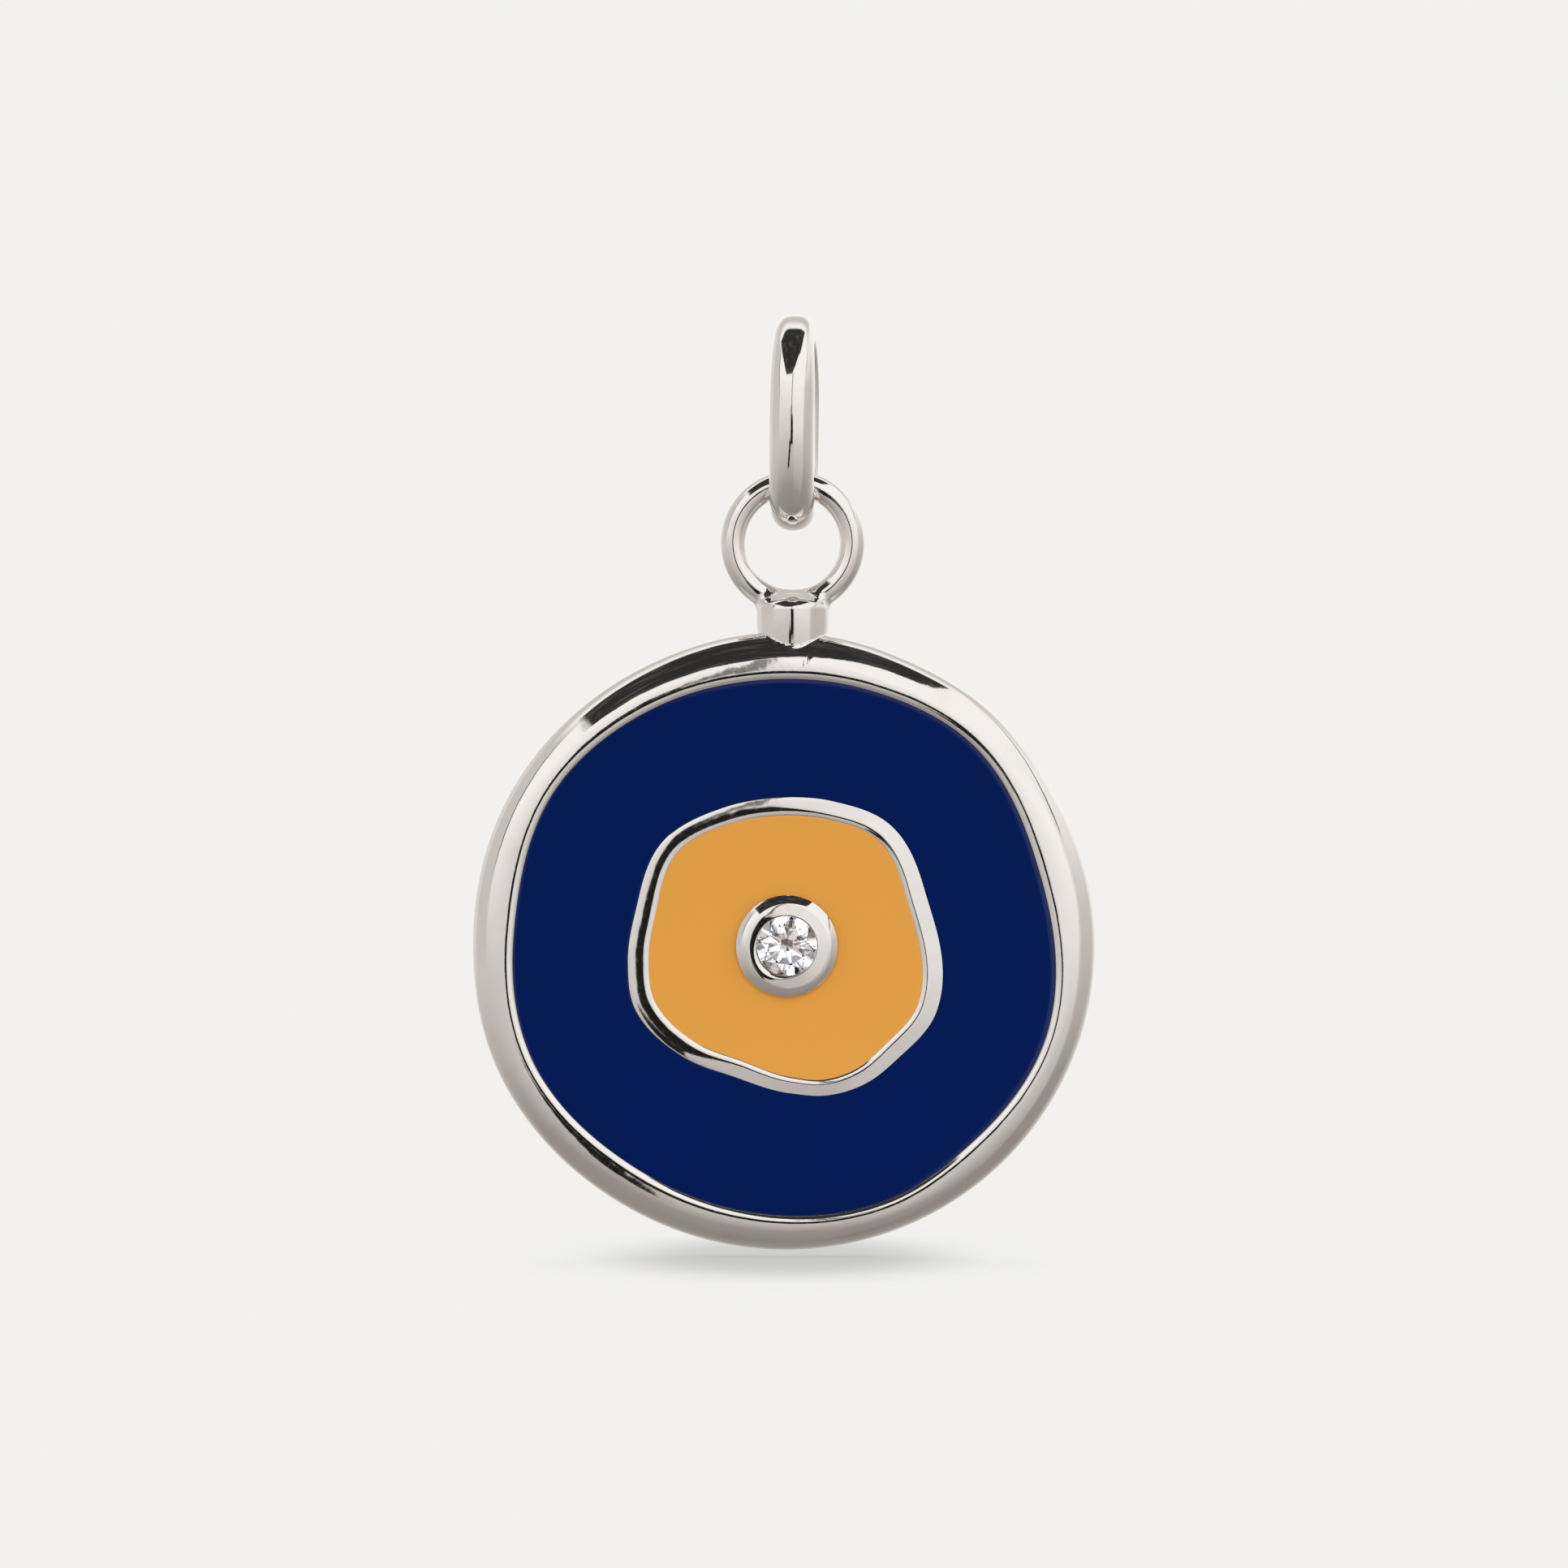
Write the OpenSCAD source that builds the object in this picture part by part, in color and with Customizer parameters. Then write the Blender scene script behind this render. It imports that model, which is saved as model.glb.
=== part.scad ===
// Evil eye pendant: an enamelled disc with a bezel-set stone, a hanging ring and an oval bail.
// Millimetres, +Z up. The front faces -Y. The origin is where the chain lies in the bail.

/* [Disc] */
// Nominal width of the disc, which the rim's outline shares multiply
disc_w = 18; // [16:0.5:22]
// Thickness of the disc, from the rim's crest to its back
disc_t = 2.3; // [2.1:0.05:3]
// Nominal width of the metal rim seen from the front
rim_w = 1.18; // [1:0.02:1.6]
// Distance from the edge of the enamel out to the rim's crest
rim_crest_in = 0.2; // [0.14:0.01:0.3]
// How far the rim's widest line lies behind its crest
rim_bulge = 0.8; // [0.6:0.05:1.1]
// How far the rim rounds inwards at its back
rim_back_round = 0.5; // [0.3:0.05:0.6]
// How deep the back panel lies inside the rim's back edge
back_recess = 0.06; // [0.04:0.01:0.2]
// How far the disc's middle sits to the right of the hanging ring's axis
disc_shift = -0.25; // [-0.4:0.05:0.4]

/* [Enamel] */
// Thickness of both enamels
enamel_t = 0.6; // [0.4:0.05:0.7]
// How far the enamel's surface lies below the rim's crest
enamel_drop = 0.1; // [0.08:0.01:0.2]
// Gap between the enamel and the metal beside it
enamel_gap = 0.015; // [0.01:0.005:0.03]

/* [Iris wall] */
// Nominal width of the iris over its metal wall, which the iris shares multiply
iris_w = 8.95; // [7.5:0.05:10.5]
// Nominal width of the wall between the two enamels, which the wall shares multiply
wall_w = 0.56; // [0.44:0.02:0.8]
// Distance from the wall's inner edge to its crest
wall_crest_in = 0.2; // [0.12:0.01:0.24]
// How far the wall's crest stands above the enamel
wall_rise = 0.07; // [0.04:0.01:0.15]

/* [Stone] */
// Diameter of the round brilliant
stone_d = 2; // [1.7:0.05:2.2]
// Width of the stone's table
table_w = 1.14; // [0.95:0.01:1.2]
// Height of the crown above the girdle
crown_h = 0.3; // [0.24:0.01:0.34]
// Thickness of the girdle
girdle_t = 0.06; // [0.04:0.01:0.1]
// Depth of the pavilion below the girdle
pavilion_h = 0.86; // [0.75:0.01:0.92]
// Gap between the stone and its seat
stone_gap = 0.02; // [0.015:0.005:0.04]

/* [Bezel] */
// Outer diameter of the bezel
bezel_d = 2.93; // [2.7:0.01:3.4]
// How far the bezel's crest stands above the enamel
bezel_rise = 0.38; // [0.36:0.01:0.6]
// How far the bezel's lip covers the edge of the stone
bezel_grip = 0.1; // [0.06:0.01:0.14]
// Radius of the lip's inner edge
lip_round = 0.045; // [0.03:0.005:0.07]
// Radial width of the bezel's rounded outer edge
bezel_edge = 0.24; // [0.14:0.01:0.3]
// Height of the bezel's rounded outer edge
bezel_edge_h = 0.25; // [0.15:0.01:0.3]
// How far the stone's table lies below the bezel's crest
table_drop = 0.02; // [0:0.01:0.06]
// How far the bezel's axis lies to the right of the disc's middle
bezel_x = 0.08; // [-0.4:0.02:0.4]
// How far the bezel's axis lies above the disc's middle
bezel_z = -0.14; // [-0.4:0.02:0.4]

/* [Hanging ring and peg] */
// Inner diameter of the hanging ring
ring_hole = 2.74; // [2.6:0.02:3.6]
// Wire diameter of the hanging ring
ring_wire = 0.72; // [0.5:0.02:0.8]
// Diameter of the peg that joins the ring to the rim
peg_d = 2.12; // [1.6:0.02:2.4]
// Space between the ring's outer edge and the rim, which the peg bridges
peg_gap = 0.5; // [0.35:0.05:0.9]
// Height of the dome on top of the peg
peg_dome = 0.52; // [0.35:0.01:0.55]
// How far the bead round the peg's foot stands out from the peg
peg_flare = 0.09; // [0.04:0.01:0.15]
// How deep the peg is sunk into the rim
peg_sink = 0.8; // [0.6:0.05:0.85]

/* [Bail] */
// Overall height of the bail
bail_h = 6.28; // [5.8:0.02:8]
// Overall depth of the bail from front to back
bail_depth = 4; // [3.7:0.05:5]
// Width of the bail's bar over its sides
bail_w = 1.3; // [1:0.02:1.4]
// Width of the bail's bar at the very top
bail_top_w = 1.14; // [0.9:0.02:1.3]
// Thickness of the bail's bar
bail_t = 0.86; // [0.6:0.02:0.95]
// How far the bail's outer face bulges beyond its widest line
bail_bulge = 0.62; // [0.3:0.02:0.7]
// Fullness of the bail's oval, where 2 is an ellipse
bail_fullness = 2.4; // [2.2:0.05:3]
// Turn of the bail about the vertical, which shows its back limb on the right
bail_turn = 3; // [0:0.5:5]
// Lean of the bail's foot to the left
bail_lean = 0.8; // [0:0.1:2]

/* [Hang] */
// Gap between the ring and the bail's lower bar
ring_play = 0.17; // [0.15:0.01:0.3]
// How far the ring hangs to the right of the bail's middle
ring_x = -0.08; // [-0.1:0.01:0.1]

/* [Hidden] */
$fn = 64;

// Columns of the outline tables: an angle in degrees from +X towards +Z, and a share of the nominal size
ANGLE = 0;
SHARE = 1;
RIM_SHARES = [
    [5, 1.000], [27, 0.991], [47, 0.997], [66, 0.988], [90, 0.996], [115, 0.993], [150, 1.004],
    [180, 1.003], [204, 1.013], [240, 0.996], [275, 0.997], [335, 1.005]
];
FIELD_SHARES = [
    [15, 0.977], [46, 1.005], [70, 0.979], [95, 0.967], [120, 0.985], [147, 1.012],
    [174, 0.995], [205, 1.028], [235, 1.002], [260, 1.007], [292, 1.029], [312, 1.018],
    [340, 1.030]
];
IRIS_SHARES = [
    [14, 0.966], [47, 1.017], [70, 0.958], [92, 0.931], [115, 0.952], [141, 1.014],
    [167, 0.978], [188, 1.019], [205, 1.058], [228, 0.996], [250, 0.934], [272, 0.983],
    [286, 1.036], [300, 1.061], [315, 1.057], [335, 1.086]
];
// Shares of the wall's own width, which is least at the foot of the iris
WALL_SHARES = [
    [15, 1.03], [50, 1.00], [92, 0.96], [130, 0.94], [165, 1.04], [200, 1.10],
    [228, 0.99], [255, 0.90], [285, 0.84], [312, 0.96], [345, 1.06]
];

// Steps in the meshed outlines and arcs
rim_steps = 90;
wall_steps = 72;
bail_steps = 60;
bail_sides = 14;
arc_steps = 7;
edge_steps = 4;

// Depths along Y: the disc is centred on the ring's plane
y_crest = -disc_t / 2;
y_enamel = y_crest + enamel_drop;
y_floor = y_enamel + enamel_t;
y_panel = disc_t / 2 - back_recess;
y_back = disc_t / 2;

// How far solids that are soldered together reach into each other
weld = 0.1;
// How deep the plate's edge is set into the rim
plate_bite = 0.25;
// How far the rim's inner bevel falls from its crest
bevel_drop = enamel_drop + 0.02;

// Heights: the ring hangs on the bail's lower bar, and the disc hangs below it
bail_foot = -(bail_h - 2 * bail_t);
ring_z = bail_foot + ring_play - ring_hole / 2;
ring_r = (ring_hole + ring_wire) / 2;
rim_top_z = ring_z - ring_hole / 2 - ring_wire - peg_gap;
disc_x = ring_x + disc_shift;
disc_z = rim_top_z - outline(RIM_SHARES, disc_w / 2, 90);

// Heights in front of the enamel, for the stone and its setting
table_h = bezel_rise - table_drop;
girdle_top = table_h - crown_h;
girdle_low = girdle_top - girdle_t;
culet_h = girdle_low - pavilion_h;
stone_r = stone_d / 2;
lip_r = stone_r - bezel_grip;

// Size at angle a: the nominal size times a smooth closed curve through the table's shares
function outline(table, size, a) = size * share_at(table, a);
function share_at(table, a) =
    let (i = len([for (row = table) if (row[ANGLE] <= a) 1]) - 1)
    let (p = knot(table, i), q = knot(table, i + 1))
    let (h = q[ANGLE] - p[ANGLE], u = (a - p[ANGLE]) / h)
    let (m0 = knot_slope(table, i) * h, m1 = knot_slope(table, i + 1) * h)
    p[SHARE] * (2 * u ^ 3 - 3 * u ^ 2 + 1) + m0 * (u ^ 3 - 2 * u ^ 2 + u)
    + q[SHARE] * (3 * u ^ 2 - 2 * u ^ 3) + m1 * (u ^ 3 - u ^ 2);
// Row i of a closed table, where i may run past either end
function knot(table, i) =
    let (n = len(table), turn = floor(i / n))
    [table[i - n * turn][ANGLE] + 360 * turn, table[i - n * turn][SHARE]];
function knot_slope(table, i) =
    let (p = knot(table, i - 1), q = knot(table, i + 1))
    (q[SHARE] - p[SHARE]) / (q[ANGLE] - p[ANGLE]);

function rim_r(a) = outline(RIM_SHARES, disc_w / 2, a);
function field_r(a) = outline(FIELD_SHARES, disc_w / 2 - rim_w, a);
function iris_r(a) = outline(IRIS_SHARES, iris_w / 2, a);
function wall_in_r(a) = iris_r(a) - outline(WALL_SHARES, wall_w, a);

// Triangles of a closed tube whose points run as rows of n
function tube_faces(rows, n) = [
    for (i = [0 : rows - 1], j = [0 : n - 1])
        let (i2 = (i + 1) % rows, j2 = (j + 1) % n)
        let (a = i * n + j, b = i * n + j2, c = i2 * n + j2, d = i2 * n + j)
        each [[a, b, c], [a, c, d]]
];
// A point of the disc at angle a, radius r and depth y
function disc_point(a, r, y) = [r * cos(a), y, r * sin(a)];
// A point of the stone at radius r, angle a and height h in front of the enamel
function stone_point(r, a, h) = [r * cos(a), r * sin(a), h];

// The rim's section at angle a, as [radius, depth] from the enamel's edge round its outside
function rim_section(a) =
    let (r_in = field_r(a), r_crest = r_in + rim_crest_in, r_out = rim_r(a))
    let (y_wide = y_crest + rim_bulge)
    concat(
        [for (i = [0 : edge_steps]) let (t = 90 - 90 * i / edge_steps)
            [r_crest - rim_crest_in * sin(t), y_crest + bevel_drop * (1 - cos(t))]],
        [for (i = [1 : arc_steps]) let (t = 90 * i / arc_steps)
            [r_crest + (r_out - r_crest) * sin(t), y_crest + rim_bulge * (1 - cos(t))]],
        [for (i = [1 : edge_steps]) let (t = 90 * i / edge_steps)
            [r_out - rim_back_round * (1 - cos(t)), y_wide + (y_back - y_wide) * sin(t)]],
        [[r_in, y_back]]
    );

// The iris wall's section at angle a, rounded over its crest and sunk into the plate
function wall_section(a) =
    let (r_out = iris_r(a), r_in = wall_in_r(a), r_crest = r_in + wall_crest_in)
    concat(
        [[r_in, y_floor + weld]],
        [for (i = [0 : edge_steps]) let (t = 90 - 90 * i / edge_steps)
            [r_crest - wall_crest_in * sin(t), y_enamel - wall_rise * cos(t)]],
        [for (i = [1 : edge_steps]) let (t = 90 * i / edge_steps)
            [r_crest + (r_out - r_crest) * sin(t), y_enamel - wall_rise * cos(t)]],
        [[r_out, y_floor + weld]]
    );

module rim() {
    sections = [for (j = [0 : rim_steps - 1]) rim_section(360 * j / rim_steps)];
    rows = len(sections[0]);
    points = [for (i = [0 : rows - 1], j = [0 : rim_steps - 1])
        disc_point(360 * j / rim_steps, sections[j][i][0], sections[j][i][1])];
    polyhedron(points, tube_faces(rows, rim_steps), convexity = 6);
}

module iris_wall() {
    sections = [for (j = [0 : wall_steps - 1]) wall_section(360 * j / wall_steps)];
    rows = len(sections[0]);
    points = [for (i = [0 : rows - 1], j = [0 : wall_steps - 1])
        disc_point(360 * j / wall_steps, sections[j][i][0], sections[j][i][1])];
    polyhedron(points, tube_faces(rows, wall_steps), convexity = 6);
}

// Stands a flat outline in the disc's plane, from depth y0 back to depth y1
module upright(y0, y1) {
    translate([0, y1, 0]) rotate([90, 0, 0]) linear_extrude(height = y1 - y0) children();
}

module field_outline(grow) {
    polygon([for (j = [0 : rim_steps - 1]) let (a = 360 * j / rim_steps)
        (field_r(a) + grow) * [cos(a), sin(a)]]);
}

module iris_outline(grow) {
    polygon([for (j = [0 : wall_steps - 1]) let (a = 360 * j / wall_steps)
        (iris_r(a) + grow) * [cos(a), sin(a)]]);
}

module wall_in_outline(grow) {
    polygon([for (j = [0 : wall_steps - 1]) let (a = 360 * j / wall_steps)
        (wall_in_r(a) + grow) * [cos(a), sin(a)]]);
}

module plate() {
    upright(y_floor, y_panel) field_outline(plate_bite);
}

// Turns a profile of [radius, height in front of the enamel] about the bezel's axis
module on_bezel_axis() {
    translate([bezel_x, y_enamel, bezel_z]) rotate([90, 0, 0]) children();
}

module bezel() {
    r_edge = bezel_d / 2 - bezel_edge;
    r_crest = lip_r + lip_round;
    lip_fall = 0.04;
    on_bezel_axis() rotate_extrude() polygon(concat(
        [[0, -enamel_t - weld], [bezel_d / 2, -enamel_t - weld]],
        [for (i = [0 : arc_steps]) let (t = 90 * i / arc_steps)
            [r_edge + bezel_edge * cos(t), bezel_rise - lip_fall - bezel_edge_h * (1 - sin(t))]],
        [[(r_edge + r_crest) / 2, bezel_rise - lip_fall / 4], [r_crest, bezel_rise]],
        [[lip_r, bezel_rise - lip_round / 2], [0, bezel_rise - lip_round]]
    ));
}

// The space for the stone: a drilled hole, a cone under the pavilion, and the lip's opening
module stone_seat() {
    r_seat = stone_r + stone_gap;
    r_drill = 0.7 * stone_r;
    crown_slope = crown_h / (stone_r - table_w / 2);
    on_bezel_axis() rotate_extrude() polygon([
        [0, culet_h - 2 * stone_gap],
        [r_drill, culet_h - 2 * stone_gap],
        [r_drill, girdle_low - stone_gap - (r_seat - r_drill) * pavilion_h / stone_r],
        [r_seat, girdle_low - stone_gap],
        [r_seat, girdle_top + stone_gap],
        [lip_r, girdle_top + bezel_grip * crown_slope + 1.5 * stone_gap],
        [lip_r, bezel_rise + weld],
        [0, bezel_rise + weld]
    ]);
}

module hanging_ring() {
    rotate([90, 0, 0]) rotate_extrude() translate([ring_r, 0]) circle(d = ring_wire);
}

// The peg, with z = 0 at the rim's top edge: a bead round its foot, a waist and a dome
module peg() {
    r = peg_d / 2;
    bead_h = 0.3;
    dome_foot = peg_gap + ring_wire - peg_dome - weld / 2;
    rotate_extrude() polygon(concat(
        [[0, -peg_sink], [r, -peg_sink]],
        [for (i = [-edge_steps : edge_steps]) let (t = i / edge_steps)
            [r + peg_flare * (1 + cos(180 * t)) / 2, bead_h * t]],
        [for (i = [0 : arc_steps]) let (t = 90 * i / arc_steps)
            [r * cos(t), dome_foot + peg_dome * sin(t)]]
    ));
}

module pendant_frame() {
    color([0.86, 0.84, 0.81]) union() {
        translate([disc_x, 0, disc_z]) difference() {
            union() {
                rim();
                plate();
                iris_wall();
                bezel();
            }
            stone_seat();
        }
        translate([ring_x, 0, rim_top_z]) peg();
        translate([ring_x, 0, ring_z]) hanging_ring();
    }
}

module navy_enamel() {
    color([0, 0.1, 0.32]) translate([disc_x, 0, disc_z]) upright(y_enamel, y_floor) difference() {
        field_outline(-enamel_gap);
        iris_outline(enamel_gap);
    }
}

module amber_enamel() {
    color([0.87, 0.61, 0.28]) translate([disc_x, 0, disc_z]) upright(y_enamel, y_floor) difference() {
        wall_in_outline(-enamel_gap);
        translate([bezel_x, bezel_z]) circle(d = bezel_d + 2 * enamel_gap);
    }
}

// Round brilliant cut: table, stars, kites, upper and lower halves, girdle and pavilion mains
module brilliant() {
    mains = 8;
    turn = 360 / mains;
    half = turn / 2;
    mid_r = 0.77 * stone_r;
    low_r = 0.24 * stone_r;
    crown_slope = crown_h / (stone_r - table_w / 2);
    pavilion_slope = pavilion_h / stone_r;
    mid_h = table_h - (mid_r * cos(half) - table_w / 2) * crown_slope;
    low_h = girdle_low - (stone_r - low_r * cos(half)) * pavilion_slope;
    table_ring = [for (k = [0 : mains - 1]) stone_point(table_w / 2, turn * k, table_h)];
    mid_ring = [for (k = [0 : mains - 1]) stone_point(mid_r, turn * k + half, mid_h)];
    top_ring = [for (k = [0 : 2 * mains - 1]) stone_point(stone_r, half * k, girdle_top)];
    base_ring = [for (k = [0 : 2 * mains - 1]) stone_point(stone_r, half * k, girdle_low)];
    low_ring = [for (k = [0 : mains - 1]) stone_point(low_r, turn * k + half, low_h)];
    mid0 = mains;
    top0 = 2 * mains;
    base0 = 4 * mains;
    low0 = 6 * mains;
    culet = 7 * mains;
    last = mains - 1;
    on_bezel_axis() polyhedron(
        concat(table_ring, mid_ring, top_ring, base_ring, low_ring, [[0, 0, culet_h]]),
        concat(
            [[for (k = [last : -1 : 0]) k]],
            [for (k = [0 : last]) [k, (k + 1) % mains, mid0 + k]],
            [for (k = [0 : last]) [k, mid0 + k, top0 + 2 * k, mid0 + (k + last) % mains]],
            [for (k = [0 : last]) [mid0 + k, top0 + 2 * k + 1, top0 + 2 * k]],
            [for (k = [0 : last]) [mid0 + k, top0 + (2 * k + 2) % (2 * mains), top0 + 2 * k + 1]],
            [for (k = [0 : 2 * mains - 1]) let (k2 = (k + 1) % (2 * mains))
                [top0 + k, top0 + k2, base0 + k2, base0 + k]],
            [for (k = [0 : last]) [low0 + k, base0 + 2 * k, base0 + 2 * k + 1]],
            [for (k = [0 : last]) [low0 + k, base0 + 2 * k + 1, base0 + (2 * k + 2) % (2 * mains)]],
            [for (k = [0 : last]) [culet, low0 + (k + last) % mains, base0 + 2 * k, low0 + k]]
        ),
        convexity = 2
    );
}

module centre_stone() {
    color([0.92, 0.94, 0.97]) translate([disc_x, 0, disc_z]) brilliant();
}

// A power that keeps its base's sign
function signed_pow(v, e) = sign(v) * abs(v) ^ e;

// One ring of the bail's points: a bar section with a full outer face, swept round an oval
function bail_ring(t) =
    let (a = bail_depth / 2 - bail_t, b = bail_h / 2 - bail_t, n = bail_fullness)
    let (y = a * signed_pow(cos(t), 2 / n), z = b * signed_pow(sin(t), 2 / n))
    let (ny = signed_pow(y / a, n - 1) / a, nz = signed_pow(z / b, n - 1) / b)
    let (out = [ny, nz] / norm([ny, nz]), hollow = bail_t - bail_bulge)
    let (rise = max(0, (z - b / 3) / (2 * b / 3)))
    let (w = bail_w - (bail_w - bail_top_w) * rise ^ 2)
    [for (j = [0 : bail_sides - 1])
        let (s = -360 * (j + 0.5) / bail_sides)
        let (d = hollow + (sin(s) > 0 ? bail_bulge : hollow) * sin(s))
        [w / 2 * cos(s), y + out[0] * d, z - b + out[1] * d]];

module bail() {
    points = [for (i = [0 : bail_steps - 1]) each bail_ring(360 * i / bail_steps)];
    color([0.86, 0.84, 0.81]) rotate([0, 0, -bail_turn]) rotate([0, bail_lean, 0])
        polyhedron(points, tube_faces(bail_steps, bail_sides), convexity = 6);
}

pendant_frame();
navy_enamel();
amber_enamel();
centre_stone();
bail();
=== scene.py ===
"""Dresses the evil eye pendant for its picture: bright plated silver, flat enamels and one cut stone."""

import logging
import math
from dataclasses import dataclass
from enum import Enum
from typing import Callable

import bpy
import numpy as np
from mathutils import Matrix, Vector


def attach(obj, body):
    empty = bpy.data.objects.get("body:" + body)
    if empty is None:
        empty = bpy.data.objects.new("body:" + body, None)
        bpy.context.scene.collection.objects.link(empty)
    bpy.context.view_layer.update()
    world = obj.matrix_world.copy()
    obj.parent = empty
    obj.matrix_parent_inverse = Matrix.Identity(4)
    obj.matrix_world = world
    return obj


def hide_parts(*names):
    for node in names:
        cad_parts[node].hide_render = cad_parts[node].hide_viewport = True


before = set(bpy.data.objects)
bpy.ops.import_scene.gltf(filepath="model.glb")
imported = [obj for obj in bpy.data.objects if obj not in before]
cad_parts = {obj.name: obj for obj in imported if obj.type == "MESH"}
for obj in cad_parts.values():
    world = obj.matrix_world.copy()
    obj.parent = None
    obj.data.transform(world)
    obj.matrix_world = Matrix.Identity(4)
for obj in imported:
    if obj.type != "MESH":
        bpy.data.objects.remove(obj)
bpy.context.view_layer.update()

log = logging.getLogger("pendant")

MM = 0.001
MICROMETRE = 1e-6
TURN = 360

Colour = tuple[float, float, float, float]
Socket = bpy.types.NodeSocket


class Depth:
    """Depths along Y in millimetres: the disc is centred on the ring's plane, and its front faces -Y."""

    CREST = -1.15
    ENAMEL = -1.05
    FLOOR = -0.45
    PANEL = 1.09
    BACK = 1.15


class Place:
    """Where the parts hang in the frame, in millimetres."""

    RING_X = -0.08
    RING_Z = -5.76
    RIM_TOP_Z = -8.35
    DISC_X = -0.33
    BEZEL_X = 0.08
    BEZEL_Z = -0.14


class Slot(Enum):
    """The record's material slots."""

    SILVER = "plated_silver"
    NAVY = "navy_enamel"
    AMBER = "amber_enamel"
    STONE = "clear_stone"


# Node trees


class Value:
    """A number that varies over a surface. Arithmetic on it adds Math nodes."""

    def __init__(self, net: "Net", socket: Socket) -> None:
        """Wraps one output socket.

        Args:
            net: the tree that the socket belongs to.
            socket: the output that carries the number.
        """
        self.net = net
        self.socket = socket

    def _math(self, operation: str, *operands: "Value | float") -> "Value":
        """Adds one Math node.

        Args:
            operation: the node's operation.
            operands: its inputs in order.

        Returns:
            The node's result.
        """
        made = self.net.node("ShaderNodeMath", {"operation": operation}, dict(enumerate(operands)))
        return Value(self.net, made.outputs[0])

    def __add__(self, other: "Value | float") -> "Value":
        """self + other."""
        return self._math("ADD", self, other)

    def __sub__(self, other: "Value | float") -> "Value":
        """self - other."""
        return self._math("SUBTRACT", self, other)

    def __mul__(self, other: "Value | float") -> "Value":
        """self * other."""
        return self._math("MULTIPLY", self, other)

    def __truediv__(self, other: "Value | float") -> "Value":
        """self / other."""
        return self._math("DIVIDE", self, other)

    def __rsub__(self, other: float) -> "Value":
        """other - self."""
        return self._math("SUBTRACT", other, self)

    def __rtruediv__(self, other: float) -> "Value":
        """other / self."""
        return self._math("DIVIDE", other, self)

    __radd__ = __add__
    __rmul__ = __mul__

    def __neg__(self) -> "Value":
        """-self."""
        return self._math("MULTIPLY", self, -1.0)

    def __abs__(self) -> "Value":
        """The size of the number without its sign."""
        return self._math("ABSOLUTE", self)

    def least(self, other: "Value | float") -> "Value":
        """The smaller of the two."""
        return self._math("MINIMUM", self, other)

    def most(self, other: "Value | float") -> "Value":
        """The larger of the two."""
        return self._math("MAXIMUM", self, other)

    def arcsine(self) -> "Value":
        """The angle, in radians, that has this sine."""
        return self._math("ARCSINE", self)

    def angle_from(self, other: "Value") -> "Value":
        """The angle of the point (other, self), in radians."""
        return self._math("ARCTAN2", self, other)

    def rise(self, low: float, high: float) -> "Value":
        """0 below low, 1 above high, and smooth between them, or the reverse where low is the larger.

        Args:
            low: where the result is 0.
            high: where the result is 1.

        Returns:
            The share from 0 to 1.
        """
        made = self.net.node(
            "ShaderNodeMapRange",
            {"interpolation_type": "SMOOTHSTEP"},
            {"Value": self, "From Min": low, "From Max": high},
        )
        return Value(self.net, made.outputs[0])

    def between(self, low: float, high: float, soft: float) -> "Value":
        """1 from low to high and 0 outside, with soft edges.

        Args:
            low: the middle of the lower edge.
            high: the middle of the upper edge.
            soft: half the width of each edge.

        Returns:
            The share from 0 to 1.
        """
        return self.rise(low - soft, low + soft) * self.rise(high + soft, high - soft)


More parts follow.
